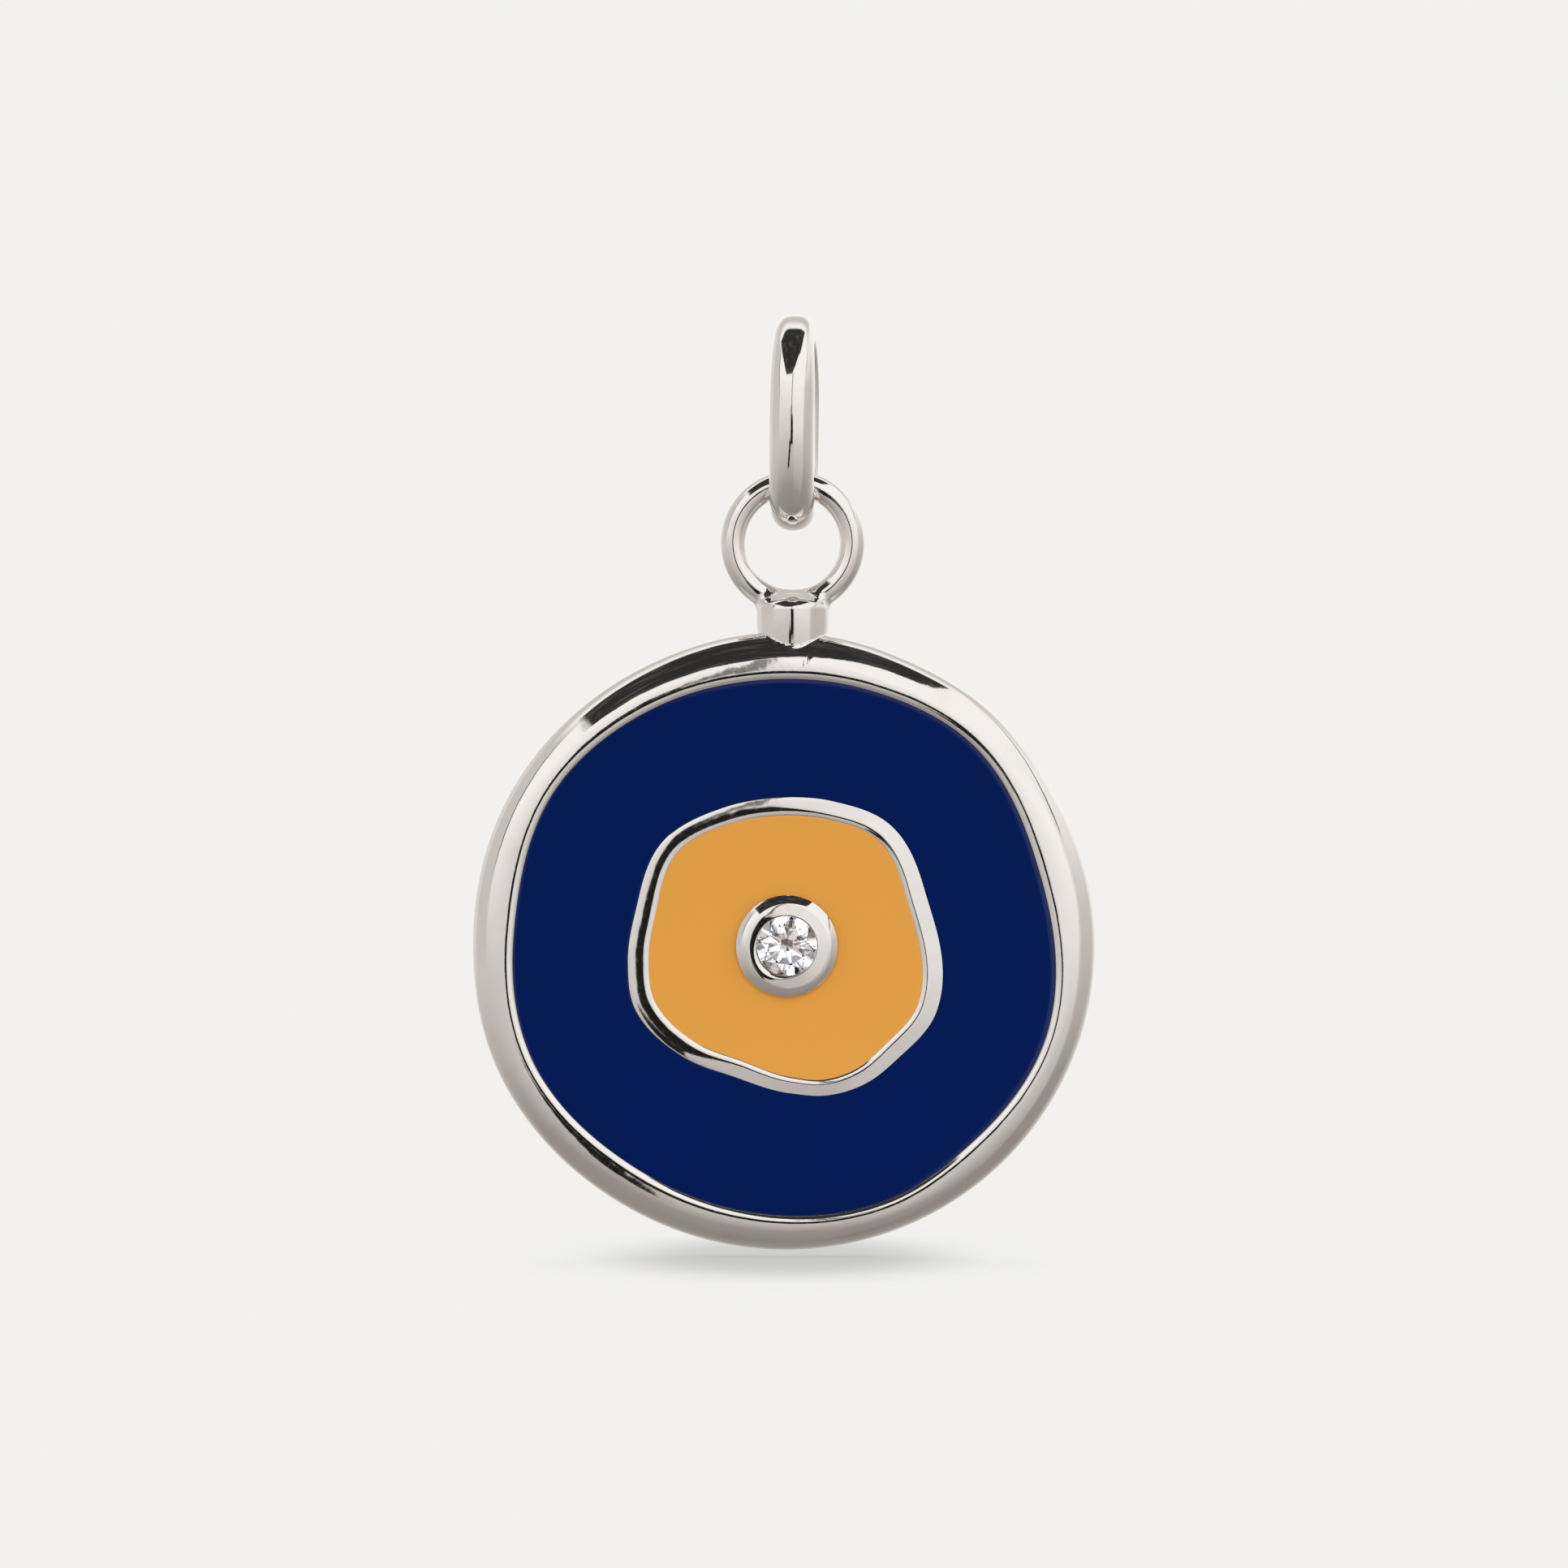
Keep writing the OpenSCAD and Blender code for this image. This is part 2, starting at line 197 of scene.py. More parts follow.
class Net:
    """One node tree, cleared and built anew."""

    def __init__(self, tree: bpy.types.NodeTree) -> None:
        """Clears the tree.

        Args:
            tree: a material's or a world's node tree.
        """
        self.tree = tree
        tree.nodes.clear()

    def node(self, kind: str, settings: dict | None = None, inputs: dict | None = None) -> bpy.types.Node:
        """Adds one node.

        Args:
            kind: the node's type.
            settings: its own settings, set first. "stops" gives a colour ramp's stops as (place, colour).
            inputs: values or links for its sockets, by name or number.

        Returns:
            The new node.
        """
        made = self.tree.nodes.new(kind)
        for name, setting in (settings or {}).items():
            if name == "stops":
                self._set_stops(made.color_ramp, setting)
            else:
                setattr(made, name, setting)
        for key, given in (inputs or {}).items():
            socket = made.inputs[key]
            if isinstance(given, Value):
                given = given.socket
            if isinstance(given, Socket):
                self.tree.links.new(given, socket)
            else:
                socket.default_value = given
        return made

    @staticmethod
    def _set_stops(ramp: bpy.types.ColorRamp, stops: list[tuple[float, tuple]]) -> None:
        """Gives a colour ramp its stops.

        Args:
            ramp: the ramp, which has two stops when new.
            stops: (place, colour) in order.
        """
        while len(ramp.elements) < len(stops):
            ramp.elements.new(0.5)
        for element, (place, colour) in zip(ramp.elements, stops):
            element.position = place
            element.color = (*colour, 1.0)

    def value(
        self, kind: str, settings: dict | None = None, inputs: dict | None = None, out: int | str = 0
    ) -> Value:
        """Adds a node and takes one of its outputs as a number.

        Args:
            kind: the node's type.
            settings: its own settings.
            inputs: values or links for its sockets.
            out: the output, by name or number.

        Returns:
            The output as a Value.
        """
        return Value(self, self.node(kind, settings, inputs).outputs[out])

    def mix(self, share: Value, first: Socket | Colour, second: Socket | Colour) -> Socket:
        """Mixes two colours.

        Args:
            share: 0 for the first, 1 for the second.
            first: a colour or a colour output.
            second: a colour or a colour output.

        Returns:
            The mixed colour's output.
        """
        made = self.node("ShaderNodeMix", {"data_type": "RGBA"}, {0: share, 6: first, 7: second})
        return made.outputs[2]

    def scaled(self, given: Socket, factor: float) -> Socket:
        """A colour or a place times a number.

        Args:
            given: the colour's or the place's output.
            factor: the number.

        Returns:
            The product's output.
        """
        made = self.node("ShaderNodeVectorMath", {"operation": "SCALE"}, {0: given, "Scale": factor})
        return made.outputs[0]

    def millimetres(self) -> Socket:
        """The place on the object, in millimetres.

        Returns:
            A vector output.
        """
        place = self.node("ShaderNodeTexCoord").outputs["Object"]
        return self.scaled(place, 1 / MM)

    def noise(self, place: Socket, per_mm: float, detail: float = 2.0, rough: float = 0.5) -> Value:
        """Even noise about 0.5.

        Args:
            place: the place in millimetres.
            per_mm: how many blobs a millimetre holds.
            detail: how many finer layers it has.
            rough: how strong the finer layers are.

        Returns:
            The noise as a Value.
        """
        inputs = {"Vector": place, "Scale": per_mm, "Detail": detail, "Roughness": rough}
        return self.value("ShaderNodeTexNoise", {}, inputs, "Fac")

    def bump(self, height: Value, micrometres: float) -> Socket:
        """Turns a height from 0 to 1 into a normal.

        Args:
            height: the varying height.
            micrometres: how high 1 stands.

        Returns:
            The normal's output.
        """
        inputs = {"Height": height, "Strength": 1.0, "Distance": micrometres * MICROMETRE}
        return self.node("ShaderNodeBump", {}, inputs).outputs[0]


def grey(level: float) -> Colour:
    """A neutral colour of that level."""
    return (level, level, level, 1.0)


# Finishes


class Finish:
    """What every finish shares: a new material with one shader on its output."""

    @staticmethod
    def start(name: str) -> tuple[bpy.types.Material, Net]:
        """Makes an empty material.

        Args:
            name: the material's name.

        Returns:
            The material and its cleared tree.
        """
        material = bpy.data.materials.new(name)
        material.use_nodes = True
        return material, Net(material.node_tree)

    @staticmethod
    def end(net: Net, inputs: dict) -> None:
        """Adds the shader and the output.

        Args:
            net: the material's tree.
            inputs: the shader's sockets.
        """
        shader = net.node("ShaderNodeBsdfPrincipled", {}, inputs)
        net.node("ShaderNodeOutputMaterial", {}, {"Surface": shader.outputs[0]})


@dataclass(frozen=True)
class PlatedSilver(Finish):
    """Bright plated silver, polished by hand: faint ripples, and a polish that varies a little."""

    name: str = "plated_silver"
    light: Colour = (0.88, 0.852, 0.82, 1.0)
    dull: Colour = (0.84, 0.81, 0.775, 1.0)
    clouds_per_mm: float = 0.8
    polish: float = 0.045
    polish_spread: float = 0.05
    ripple_per_mm: float = 1.3
    ripple_um: float = 6.5
    grain_per_mm: float = 9.0
    grain_share: float = 0.05

    def material(self) -> bpy.types.Material:
        """Builds the finish's nodes.

        Returns:
            The material.
        """
        material, net = self.start(self.name)
        place = net.millimetres()
        clouds = net.noise(place, self.clouds_per_mm, 3.0)
        ripple = net.noise(place, self.ripple_per_mm, 1.0)
        grain = net.noise(place, self.grain_per_mm, 2.0, 0.6)
        height = ripple * (1 - self.grain_share) + grain * self.grain_share
        self.end(
            net,
            {
                "Base Color": net.mix(clouds.rise(0.52, 0.75), self.light, self.dull),
                "Metallic": 1.0,
                "Roughness": self.polish + self.polish_spread * grain.rise(0.4, 0.8),
                "Normal": net.bump(height, self.ripple_um),
            },
        )
        return material


@dataclass(frozen=True)
class Enamel(Finish):
    """Opaque enamel, poured and polished flat: an even colour under a smooth glossy surface."""

    name: str
    colour: Colour
    deep: Colour
    gloss: float = 0.06
    gloss_spread: float = 0.04
    bending: float = 1.4
    clouds_per_mm: float = 0.35
    specks_per_mm: float = 14.0
    swell_per_mm: float = 0.5
    swell_um: float = 1.5

    def material(self) -> bpy.types.Material:
        """Builds the finish's nodes.

        Returns:
            The material.
        """
        material, net = self.start(self.name)
        place = net.millimetres()
        clouds = net.noise(place, self.clouds_per_mm, 2.0)
        specks = net.noise(place, self.specks_per_mm, 1.0)
        swell = net.noise(place, self.swell_per_mm, 1.0)
        share = clouds.rise(0.35, 0.8) * 0.5 + specks.rise(0.5, 0.8) * 0.25
        self.end(
            net,
            {
                "Base Color": net.mix(share, self.colour, self.deep),
                "Roughness": self.gloss + self.gloss_spread * specks,
                "IOR": self.bending,
                "Normal": net.bump(swell, self.swell_um),
            },
        )
        return material


@dataclass(frozen=True)
class CutStone(Finish):
    """A colourless brilliant, clear and strongly refracting, with polished facets and painted reflections:
    dark on random facets, blue in soft patches.
    """

    name: str = "clear_stone"
    clear: Colour = (0.93, 0.93, 0.93, 1.0)
    # painted fire: the blue tint of soft patches
    painted_blue_fire: Colour = (0.80, 0.87, 1.0, 1.0)
    # painted reflection: the colour of the facets that stand for dark things mirrored, tinted like coloured
    # fire
    dark: Colour = (0.215, 0.16, 0.15, 1.0)
    bending: float = 2.42
    painted_fire_per_mm: float = 2.5
    scuffs_per_mm: float = 30.0
    polish: float = 0.004
    polish_spread: float = 0.01

    def material(self) -> bpy.types.Material:
        """Builds the finish's nodes.

        Returns:
            The material.
        """
        material, net = self.start(self.name)
        place = net.millimetres()
        facet = net.node("ShaderNodeNewGeometry").outputs["True Normal"]
        # painted reflection: each flat facet draws its own random share of the dark
        painted_facet_reflection = net.value("ShaderNodeTexWhiteNoise", {"noise_dimensions": "3D"}, {"Vector": facet}, "Value")
        # painted fire: soft patches of blue
        painted_fire = net.noise(place, self.painted_fire_per_mm, 1.0)
        painted_fire_colour = net.mix(painted_fire.rise(0.45, 0.7), self.clear, self.painted_blue_fire)
        scuffs = net.noise(place, self.scuffs_per_mm, 1.0)
        self.end(
            net,
            {
                "Base Color": net.mix(painted_facet_reflection.rise(0.45, 0.8), painted_fire_colour, self.dark),
                "Roughness": self.polish + self.polish_spread * scuffs.rise(0.6, 0.8),
                "Transmission Weight": 1.0,
                "IOR": self.bending,
            },
        )
        return material


@dataclass(frozen=True)
class PaleFloor(Finish):
    """A plain pale floor that glows with part of its own brightness, and fades into the backdrop away from the
    pendant.

    The soft oval under the pendant is a painted shadow: it darkens the floor's colour where the wide lights'
    shadow would fall. Half sizes are in millimetres, and a share tells how far out in its oval the full effect
    ends.
    """

    name: str = "pale_floor"
    colour: Colour = (0.88, 0.882, 0.876, 1.0)
    grain_per_mm: float = 0.3
    grain_level: float = 0.995
    # painted shadow: the floor's colour in the middle of the soft oval under the pendant
    soft: Colour = (0.65, 0.652, 0.648, 1.0)
    painted_shadow_half_w: float = 6.8
    painted_shadow_half_d: float = 18.0
    painted_shadow_share: float = 0.3
    # share of the floor's brightness that it gives out itself as a glow, which leaves real shadows on it
    # fainter
    glow: float = 0.7
    matte: float = 0.9
    half_w: float = 10.5
    half_d: float = 30.0
    solid_share: float = 0.3

    @staticmethod
    def _oval(net: Net, place: Socket, half_w: float, half_d: float) -> Value:
        """How far out a place is in an oval on the floor: 0 in its middle and 1 at its edge.

        Args:
            net: the material's tree.
            place: the place in millimetres.
            half_w: half of the oval's width.
            half_d: half of its depth.

        Returns:
            The share as a Value.
        """
        shape = (1 / half_w, 1 / half_d, 0.0)
        within = net.node("ShaderNodeVectorMath", {"operation": "MULTIPLY"}, {0: place, 1: shape})
        return net.value("ShaderNodeVectorMath", {"operation": "LENGTH"}, {0: within.outputs[0]}, "Value")

    def material(self) -> bpy.types.Material:
        """Builds the finish's nodes.

        Returns:
            The material.
        """
        material, net = self.start(self.name)
        place = net.millimetres()
        grain = net.noise(place, self.grain_per_mm, 2.0)
        # painted shadow: how deep in the soft oval under the pendant each place lies
        under = self._oval(net, place, self.painted_shadow_half_w, self.painted_shadow_half_d).rise(1.0, self.painted_shadow_share)
        reach = self._oval(net, place, self.half_w, self.half_d)
        dimmer = tuple(self.grain_level * level for level in self.colour[:3]) + (1.0,)
        pale = net.mix(grain, self.colour, dimmer)
        # the painted shadow darkens the floor's colour, and its glow too
        seen = net.mix(under, pale, self.soft)
        self.end(
            net,
            {
                "Base Color": net.scaled(seen, 1 - self.glow),
                "Emission Color": seen,
                "Emission Strength": self.glow,
                "Roughness": self.matte,
                "Specular IOR Level": 0.0,
                "Alpha": reach.rise(1.0, self.solid_share),
            },
        )
        return material


# Meshes


def around(count: int, turn: float = math.tau) -> np.ndarray:
    """Even steps round a full turn, in radians, or in degrees where turn is 360."""
    return np.linspace(0, turn, count, endpoint=False)


def quarter(count: int) -> np.ndarray:
    """Angles from 0 to a right angle, in radians, with count steps."""
    return np.linspace(0.0, math.pi / 2, count + 1)


def signed_power(value: np.ndarray, power: float) -> np.ndarray:
    """The value's size raised to the power, with the value's sign."""
    return np.sign(value) * np.abs(value) ** power


def turn_about(axis: int, degrees: float) -> np.ndarray:
    """The matrix of a turn about one axis of the frame.

    Args:
        axis: 0 for X, 1 for Y, 2 for Z.
        degrees: how far it turns, by the right-hand rule.

    Returns:
        The matrix, which is put before a point.
    """
    a, b, c = math.radians(degrees), (axis + 1) % 3, (axis + 2) % 3
    matrix = np.eye(3)
    matrix[b, b] = matrix[c, c] = math.cos(a)
    matrix[c, b], matrix[b, c] = math.sin(a), -math.sin(a)
    return matrix


def band(upper: np.ndarray, lower: np.ndarray) -> np.ndarray:
    """Four-sided faces between rows of points that close on themselves.

    Args:
        upper: rows of point numbers.
        lower: the row below each of them.

    Returns:
        Rows of four point numbers.
    """
    corners = [upper, np.roll(upper, -1, 1), np.roll(lower, -1, 1), lower]
    return np.stack(corners, -1).reshape(-1, 4)


@dataclass
class Shell:
    """A piece of surface as points and faces, before it becomes a mesh."""

    points: np.ndarray
    faces: list[np.ndarray]

    @staticmethod
    def tube(grid: np.ndarray) -> "Shell":
        """A closed tube.

        Args:
            grid: points as [row round the section, column along the tube, xyz], closed both ways.

        Returns:
            The shell.
        """
        rows, columns = grid.shape[:2]
        number = np.arange(rows * columns).reshape(rows, columns)
        return Shell(grid.reshape(-1, 3), [band(number, np.roll(number, -1, 0))])

    @staticmethod
    def turned(grid: np.ndarray) -> "Shell":
        """A turned form whose first and last rows lie on its axis.

        Args:
            grid: points as [row from the axis round to the axis, column round the axis, xyz].

        Returns:
            The shell, with each end row drawn as one point.
        """
        columns = grid.shape[1]
        inner = grid[1:-1]
        rows = inner.shape[0]
        number = np.arange(rows * columns).reshape(rows, columns)
        first, last = rows * columns, rows * columns + 1
        top, low = number[0], number[-1]
        start = np.stack([np.full(columns, first), np.roll(top, -1), top], -1)
        end = np.stack([np.full(columns, last), low, np.roll(low, -1)], -1)
        points = np.vstack([inner.reshape(-1, 3), grid[0, :1], grid[-1, :1]])
        return Shell(points, [band(number[:-1], number[1:]), start, end])

    def flipped(self) -> "Shell":
        """The same surface, facing the other way."""
        return Shell(self.points, [array[:, ::-1] for array in self.faces])

    @staticmethod
    def joined(shells: list["Shell"]) -> "Shell":
        """Several shells as one.

        Args:
            shells: the shells.

        Returns:
            One shell that holds them all.
        """
        points, faces, start = [], [], 0
        for shell in shells:
            points.append(shell.points)
            faces += [array + start for array in shell.faces]
            start += len(shell.points)
        return Shell(np.vstack(points), faces)

    def outward(self) -> "Shell":
        """Turns the faces outwards, by the sign of the volume that they close in.

        Returns:
            The shell, or the flipped one.
        """
        volume = 0.0
        for array in self.faces:
            p = self.points[array]
            for k in range(1, array.shape[1] - 1):
                volume += np.einsum("ij,ij->", p[:, 0], np.cross(p[:, k], p[:, k + 1]))
        return self if volume > 0 else self.flipped()


def add_object(name: str, data: bpy.types.ID) -> bpy.types.Object:
    """Makes an object and adds it to the scene.

    Args:
        name: the object's name.
        data: its mesh, camera or lamp.

    Returns:
        The object.
    """
    made = bpy.data.objects.new(name, data)
    bpy.context.scene.collection.objects.link(made)
    return made


def build(name: str, shell: Shell, crease_deg: float = 40.0) -> bpy.types.Object:
    """Makes an object from a shell in millimetres.

    Args:
        name: the object's name.
        shell: its points and faces.
        crease_deg: edges that turn more than this are drawn sharp.

    Returns:
        The object, in the scene and smoothly shaded.
    """
    mesh = bpy.data.meshes.new(name)
    rows = [row for array in shell.faces for row in array.tolist()]
    mesh.from_pydata((shell.points * MM).tolist(), [], rows)
    mesh.validate()
    mesh.shade_smooth()
    mesh.set_sharp_from_angle(angle=math.radians(crease_deg))
    return add_object(name, mesh)


@dataclass(frozen=True)
class Outline:
    """A wavy closed outline or width: a nominal size times a smooth curve through a table of shares."""

    size: float
    table: tuple[tuple[float, float], ...]

    def at(self, degrees: np.ndarray) -> np.ndarray:
        """The size at each angle.

        Args:
            degrees: angles from +X towards +Z.

        Returns:
            The sizes, in millimetres.
        """
        count = len(self.table)
        angle = np.array([row[0] for row in self.table])
        share = np.array([row[1] for row in self.table])
        angle = np.concatenate([angle[-2:] - TURN, angle, angle[:3] + TURN])
        share = np.concatenate([share[-2:], share, share[:3]])
        slope = np.zeros_like(share)
        slope[1:-1] = (share[2:] - share[:-2]) / (angle[2:] - angle[:-2])
        a = np.mod(degrees, TURN)
        i = np.clip(np.searchsorted(angle, a, side="right") - 1, 1, count + 2)
        h = angle[i + 1] - angle[i]
        u = (a - angle[i]) / h
        curve = (
            share[i] * (2 * u**3 - 3 * u**2 + 1)
            + slope[i] * h * (u**3 - 2 * u**2 + u)
            + share[i + 1] * (3 * u**2 - 2 * u**3)
            + slope[i + 1] * h * (u**3 - u**2)
        )
        return self.size * curve


RIM = Outline(
    9.0,
    ((5, 1.000), (27, 0.991), (47, 0.997), (66, 0.988), (90, 0.996), (115, 0.993), (150, 1.004), (180, 1.003),
     (204, 1.013), (240, 0.996), (275, 0.997), (335, 1.005)),
)
FIELD = Outline(
    7.82,
    ((15, 0.977), (46, 1.005), (70, 0.979), (95, 0.967), (120, 0.985), (147, 1.012), (174, 0.995),
     (205, 1.028), (235, 1.002), (260, 1.007), (292, 1.029), (312, 1.018), (340, 1.030)),
)
IRIS = Outline(
    4.475,
    ((14, 0.966), (47, 1.017), (70, 0.958), (92, 0.931), (115, 0.952), (141, 1.014), (167, 0.978),
     (188, 1.019), (205, 1.058), (228, 0.996), (250, 0.934), (272, 0.983), (286, 1.036), (300, 1.061),
     (315, 1.057), (335, 1.086)),
)
WALL = Outline(
    0.56,
    ((15, 1.03), (50, 1.00), (92, 0.96), (130, 0.94), (165, 1.04), (200, 1.10), (228, 0.99), (255, 0.90),
     (285, 0.84), (312, 0.96), (345, 1.06)),
)
TOP = np.array([90.0])
DISC_Z = Place.RIM_TOP_Z - float(RIM.at(TOP)[0])


def disc_points(degrees: np.ndarray, radius: np.ndarray, depth: float | np.ndarray) -> np.ndarray:
    """Points of the disc, from its middle.

    Args:
        degrees: angles from +X towards +Z.
        radius: distances from the disc's middle.
        depth: places along Y.

    Returns:
        Points as [..., xyz] in millimetres, in the frame.
    """
    a = np.radians(degrees)
    radius, depth, a = np.broadcast_arrays(radius, depth, a)
    return np.stack([Place.DISC_X + radius * np.cos(a), depth, DISC_Z + radius * np.sin(a)], -1)


def disc_grid(degrees: np.ndarray, rows: list[tuple[np.ndarray, float | np.ndarray]]) -> np.ndarray:
    """Rows of points round the disc.

    Args:
        degrees: angles from +X towards +Z.
        rows: each row's distances from the disc's middle, and its place along Y.

    Returns:
        Points as [row, angle, xyz] in millimetres, in the frame.
    """
    return np.array([disc_points(degrees, radius, depth) for radius, depth in rows])


def wall_inside(degrees: np.ndarray) -> np.ndarray:
    """Distance from the disc's middle to the inner edge of the iris wall, in millimetres."""
    return IRIS.at(degrees) - WALL.at(degrees)


def on_bezel(right: np.ndarray, up: np.ndarray, front: np.ndarray) -> np.ndarray:
    """Points about the bezel's middle, where it meets the enamel's face.

    Args:
        right: distances towards +X.
        up: distances towards +Z.
        front: heights in front of the enamel.

    Returns:
        Points as [..., xyz] in millimetres, in the frame.
    """
    x0, z0 = Place.DISC_X + Place.BEZEL_X, DISC_Z + Place.BEZEL_Z
    return np.stack([x0 + right, Depth.ENAMEL - front, z0 + up], -1)


# The stone


@dataclass
class Brilliant:
    """The round brilliant: table, stars, kites, halves and pavilion mains, a little turned and tilted."""

    name: str = "brilliant"
    radius: float = 1.0
    table: float = 0.57
    table_h: float = 0.36
    girdle_top: float = 0.06
    girdle_low: float = 0.0
    culet: float = -0.86
    mid_share: float = 0.77
    low_share: float = 0.24
    turn: float = 13.0
    tilt: float = 1.0
    mains: int = 8

    @property
    def crown_slope(self) -> float:
        """How far the crown falls for each millimetre outwards."""
        return (self.table_h - self.girdle_top) / (self.radius - self.table)

    @property
    def pavilion_slope(self) -> float:
        """How far the pavilion falls for each millimetre inwards."""
        return (self.girdle_low - self.culet) / self.radius

    def ring(self, count: int, radius: float, height: float, offset: float = 0.0) -> np.ndarray:
        """One ring of the stone's corners.

        Args:
            count: how many corners it has.
            radius: its radius.
            height: its height in front of the enamel.
            offset: the first corner's angle in degrees.

        Returns:
            Points as rows of right, up, front.
        """
        a = np.radians(offset + self.turn) + np.arange(count) * math.tau / count
        return np.stack([radius * np.cos(a), radius * np.sin(a), np.full(count, height)], -1)

    def shell(self) -> Shell:
        """Cuts the stone's flat facets.

        Returns:
            The closed shell.
        """
        n, half = self.mains, TURN / 2 / self.mains
        inwards = math.cos(math.radians(half))
        mid, low = self.mid_share * self.radius, self.low_share * self.radius
        mid_h = self.table_h - (mid * inwards - self.table) * self.crown_slope
        low_h = self.girdle_low - (self.radius - low * inwards) * self.pavilion_slope
        points = np.vstack(
            [
                self.ring(n, self.table, self.table_h),
                self.ring(n, mid, mid_h, half),
                self.ring(2 * n, self.radius, self.girdle_top),
                self.ring(2 * n, self.radius, self.girdle_low),
                self.ring(n, low, low_h, half),
                [[0.0, 0.0, self.culet]],
            ]
        )
        right, up, front = turn_about(0, self.tilt) @ points.T
        k = np.arange(n)
        after, before = (k + 1) % n, (k - 1) % n
        m0, t0, g0, l0, culet = n, 2 * n, 4 * n, 6 * n, 7 * n
        g, h = np.arange(2 * n), (np.arange(2 * n) + 1) % (2 * n)
        last = (2 * k + 2) % (2 * n)
        faces = [
            np.arange(n)[None, :],
            np.stack([k, m0 + k, after], -1),
            np.stack([k, m0 + before, t0 + 2 * k, m0 + k], -1),
            np.stack([m0 + k, t0 + 2 * k, t0 + 2 * k + 1], -1),
            np.stack([m0 + k, t0 + 2 * k + 1, t0 + last], -1),
            np.stack([t0 + g, g0 + g, g0 + h, t0 + h], -1),
            np.stack([l0 + k, g0 + 2 * k + 1, g0 + 2 * k], -1),
            np.stack([l0 + k, g0 + last, g0 + 2 * k + 1], -1),
            np.stack([culet + 0 * k, l0 + k, g0 + 2 * k, l0 + before], -1),
        ]
        return Shell(on_bezel(right, up, front), faces)

    def make(self, clear: bpy.types.Material) -> bpy.types.Object:
        """Builds the stone in place of its CAD solid.

        Args:
            clear: the stone's finish.

        Returns:
            The piece.
        """
        made = build(self.name, self.shell(), 0.0)
        made.data.materials.append(clear)
        made.data.shade_flat()
        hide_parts("centre_stone")
        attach(made, "drop")
        return made


# The soldered frame


@dataclass
class Solder:
    """Soft fillets where the ring, the peg and the rim are soldered together.

    Points within seam_reach of the seams' middle are moved, in a few passes, along the slope of their distance
    from the melted metal. The slope is measured over twice the probe.
    """

    ring_radius: float = 1.73
    wire: float = 0.72
    peg_radius: float = 1.06
    peg_sink: float = 0.8
    dome_foot: float = 0.65
    dome: float = 0.52
    ring_flow: float = 0.22
    rim_flow: float = 0.05
    overlap: float = 0.05
    peg_depth: float = 0.97
    barrel: float = 0.02
    barrel_reach: float = 1.6
    seam_rise: float = 0.6
    seam_reach: float = 2.6
    passes: int = 4
    probe: float = 0.001
    least_slope: float = 0.25

    def peg_profile(self, steps: int = 24) -> np.ndarray:
        """Half of the peg's section, from the foot of its axis to the top of its dome.

        Args:
            steps: how many steps the dome's curve has.

        Returns:
            Rows of radius and height above the rim's top edge.
        """
        t = quarter(steps)
        dome = np.stack([self.peg_radius * np.cos(t), self.dome_foot + self.dome * np.sin(t)], -1)
        height = np.linspace(-self.peg_sink, self.dome_foot, 2 * steps, endpoint=False)
        below = np.clip((self.dome_foot - height) / self.dome_foot, 0.0, self.barrel_reach)
        side = np.stack([self.peg_radius - self.barrel * below**2, height], -1)
        return np.vstack([[0.0, -self.peg_sink], side, dome])

    @staticmethod
    def from_outline(outline: np.ndarray, u: np.ndarray, v: np.ndarray) -> np.ndarray:
        """Signed distance of points from a closed outline, negative inside.

        Args:
            outline: the outline's corners as rows of u, v.
            u: first coordinates.
            v: second coordinates.

        Returns:
            The distances.
        """
        tiny = 1e-12
        a, b = outline, np.roll(outline, -1, 0)
        edge = b - a
        pu, pv = u[:, None] - a[:, 0], v[:, None] - a[:, 1]
        along = (pu * edge[:, 0] + pv * edge[:, 1]) / np.maximum((edge**2).sum(1), tiny)
        along = np.clip(along, 0.0, 1.0)
        gap = np.hypot(pu - along * edge[:, 0], pv - along * edge[:, 1]).min(1)
        crosses = (a[:, 1] > v[:, None]) != (b[:, 1] > v[:, None])
        rise = np.where(edge[:, 1] == 0, tiny, edge[:, 1])
        inside = (crosses & (pu < pv * edge[:, 0] / rise)).sum(1) % 2 == 1
        return np.where(inside, -gap, gap)

    def from_ring(self, p: np.ndarray) -> np.ndarray:
        """Signed distance of points, as rows of x, y, z, from the ring's wire."""
        round_it = np.hypot(p[:, 0] - Place.RING_X, p[:, 2] - Place.RING_Z) - self.ring_radius
        return np.hypot(round_it, p[:, 1]) - self.wire / 2

    def from_peg(self, p: np.ndarray) -> np.ndarray:
        """Signed distance from the peg.

        Args:
            p: points as rows of x, y, z.

        Returns:
            The distances, negative inside.
        """
        half = self.peg_profile()[1:]
        outline = np.vstack([half, half[::-1] * [-1, 1]])
        out = np.hypot(p[:, 0] - Place.RING_X, p[:, 1] / self.peg_depth)
        return self.from_outline(outline, out, p[:, 2] - Place.RIM_TOP_Z)

    def from_rim(self, p: np.ndarray) -> np.ndarray:
        """Signed distance from the rim, taken in the section through each point.

        Args:
            p: points as rows of x, y, z.

        Returns:
            The distances, negative inside.
        """
        x, z = p[:, 0] - Place.DISC_X, p[:, 2] - DISC_Z
        degrees = np.degrees(np.arctan2(z, x))
        shift = RIM.at(degrees) - RIM.at(TOP)
        return self.from_outline(Rim().section(TOP)[:, 0], np.hypot(x, z) - shift, p[:, 1])

    @staticmethod
    def melt(a: np.ndarray, b: np.ndarray, width: float) -> np.ndarray:
        """The two distances as one, rounded off over width where they meet."""
        share = np.maximum(width - np.abs(a - b), 0.0) / width
        return np.minimum(a, b) - share**2 * width / 4

    def whole(self, p: np.ndarray) -> np.ndarray:
        """Distance from the ring, peg and rim melted together."""
        hung = self.melt(self.from_ring(p), self.from_peg(p), self.ring_flow)
        return self.melt(hung, self.from_rim(p), self.rim_flow)

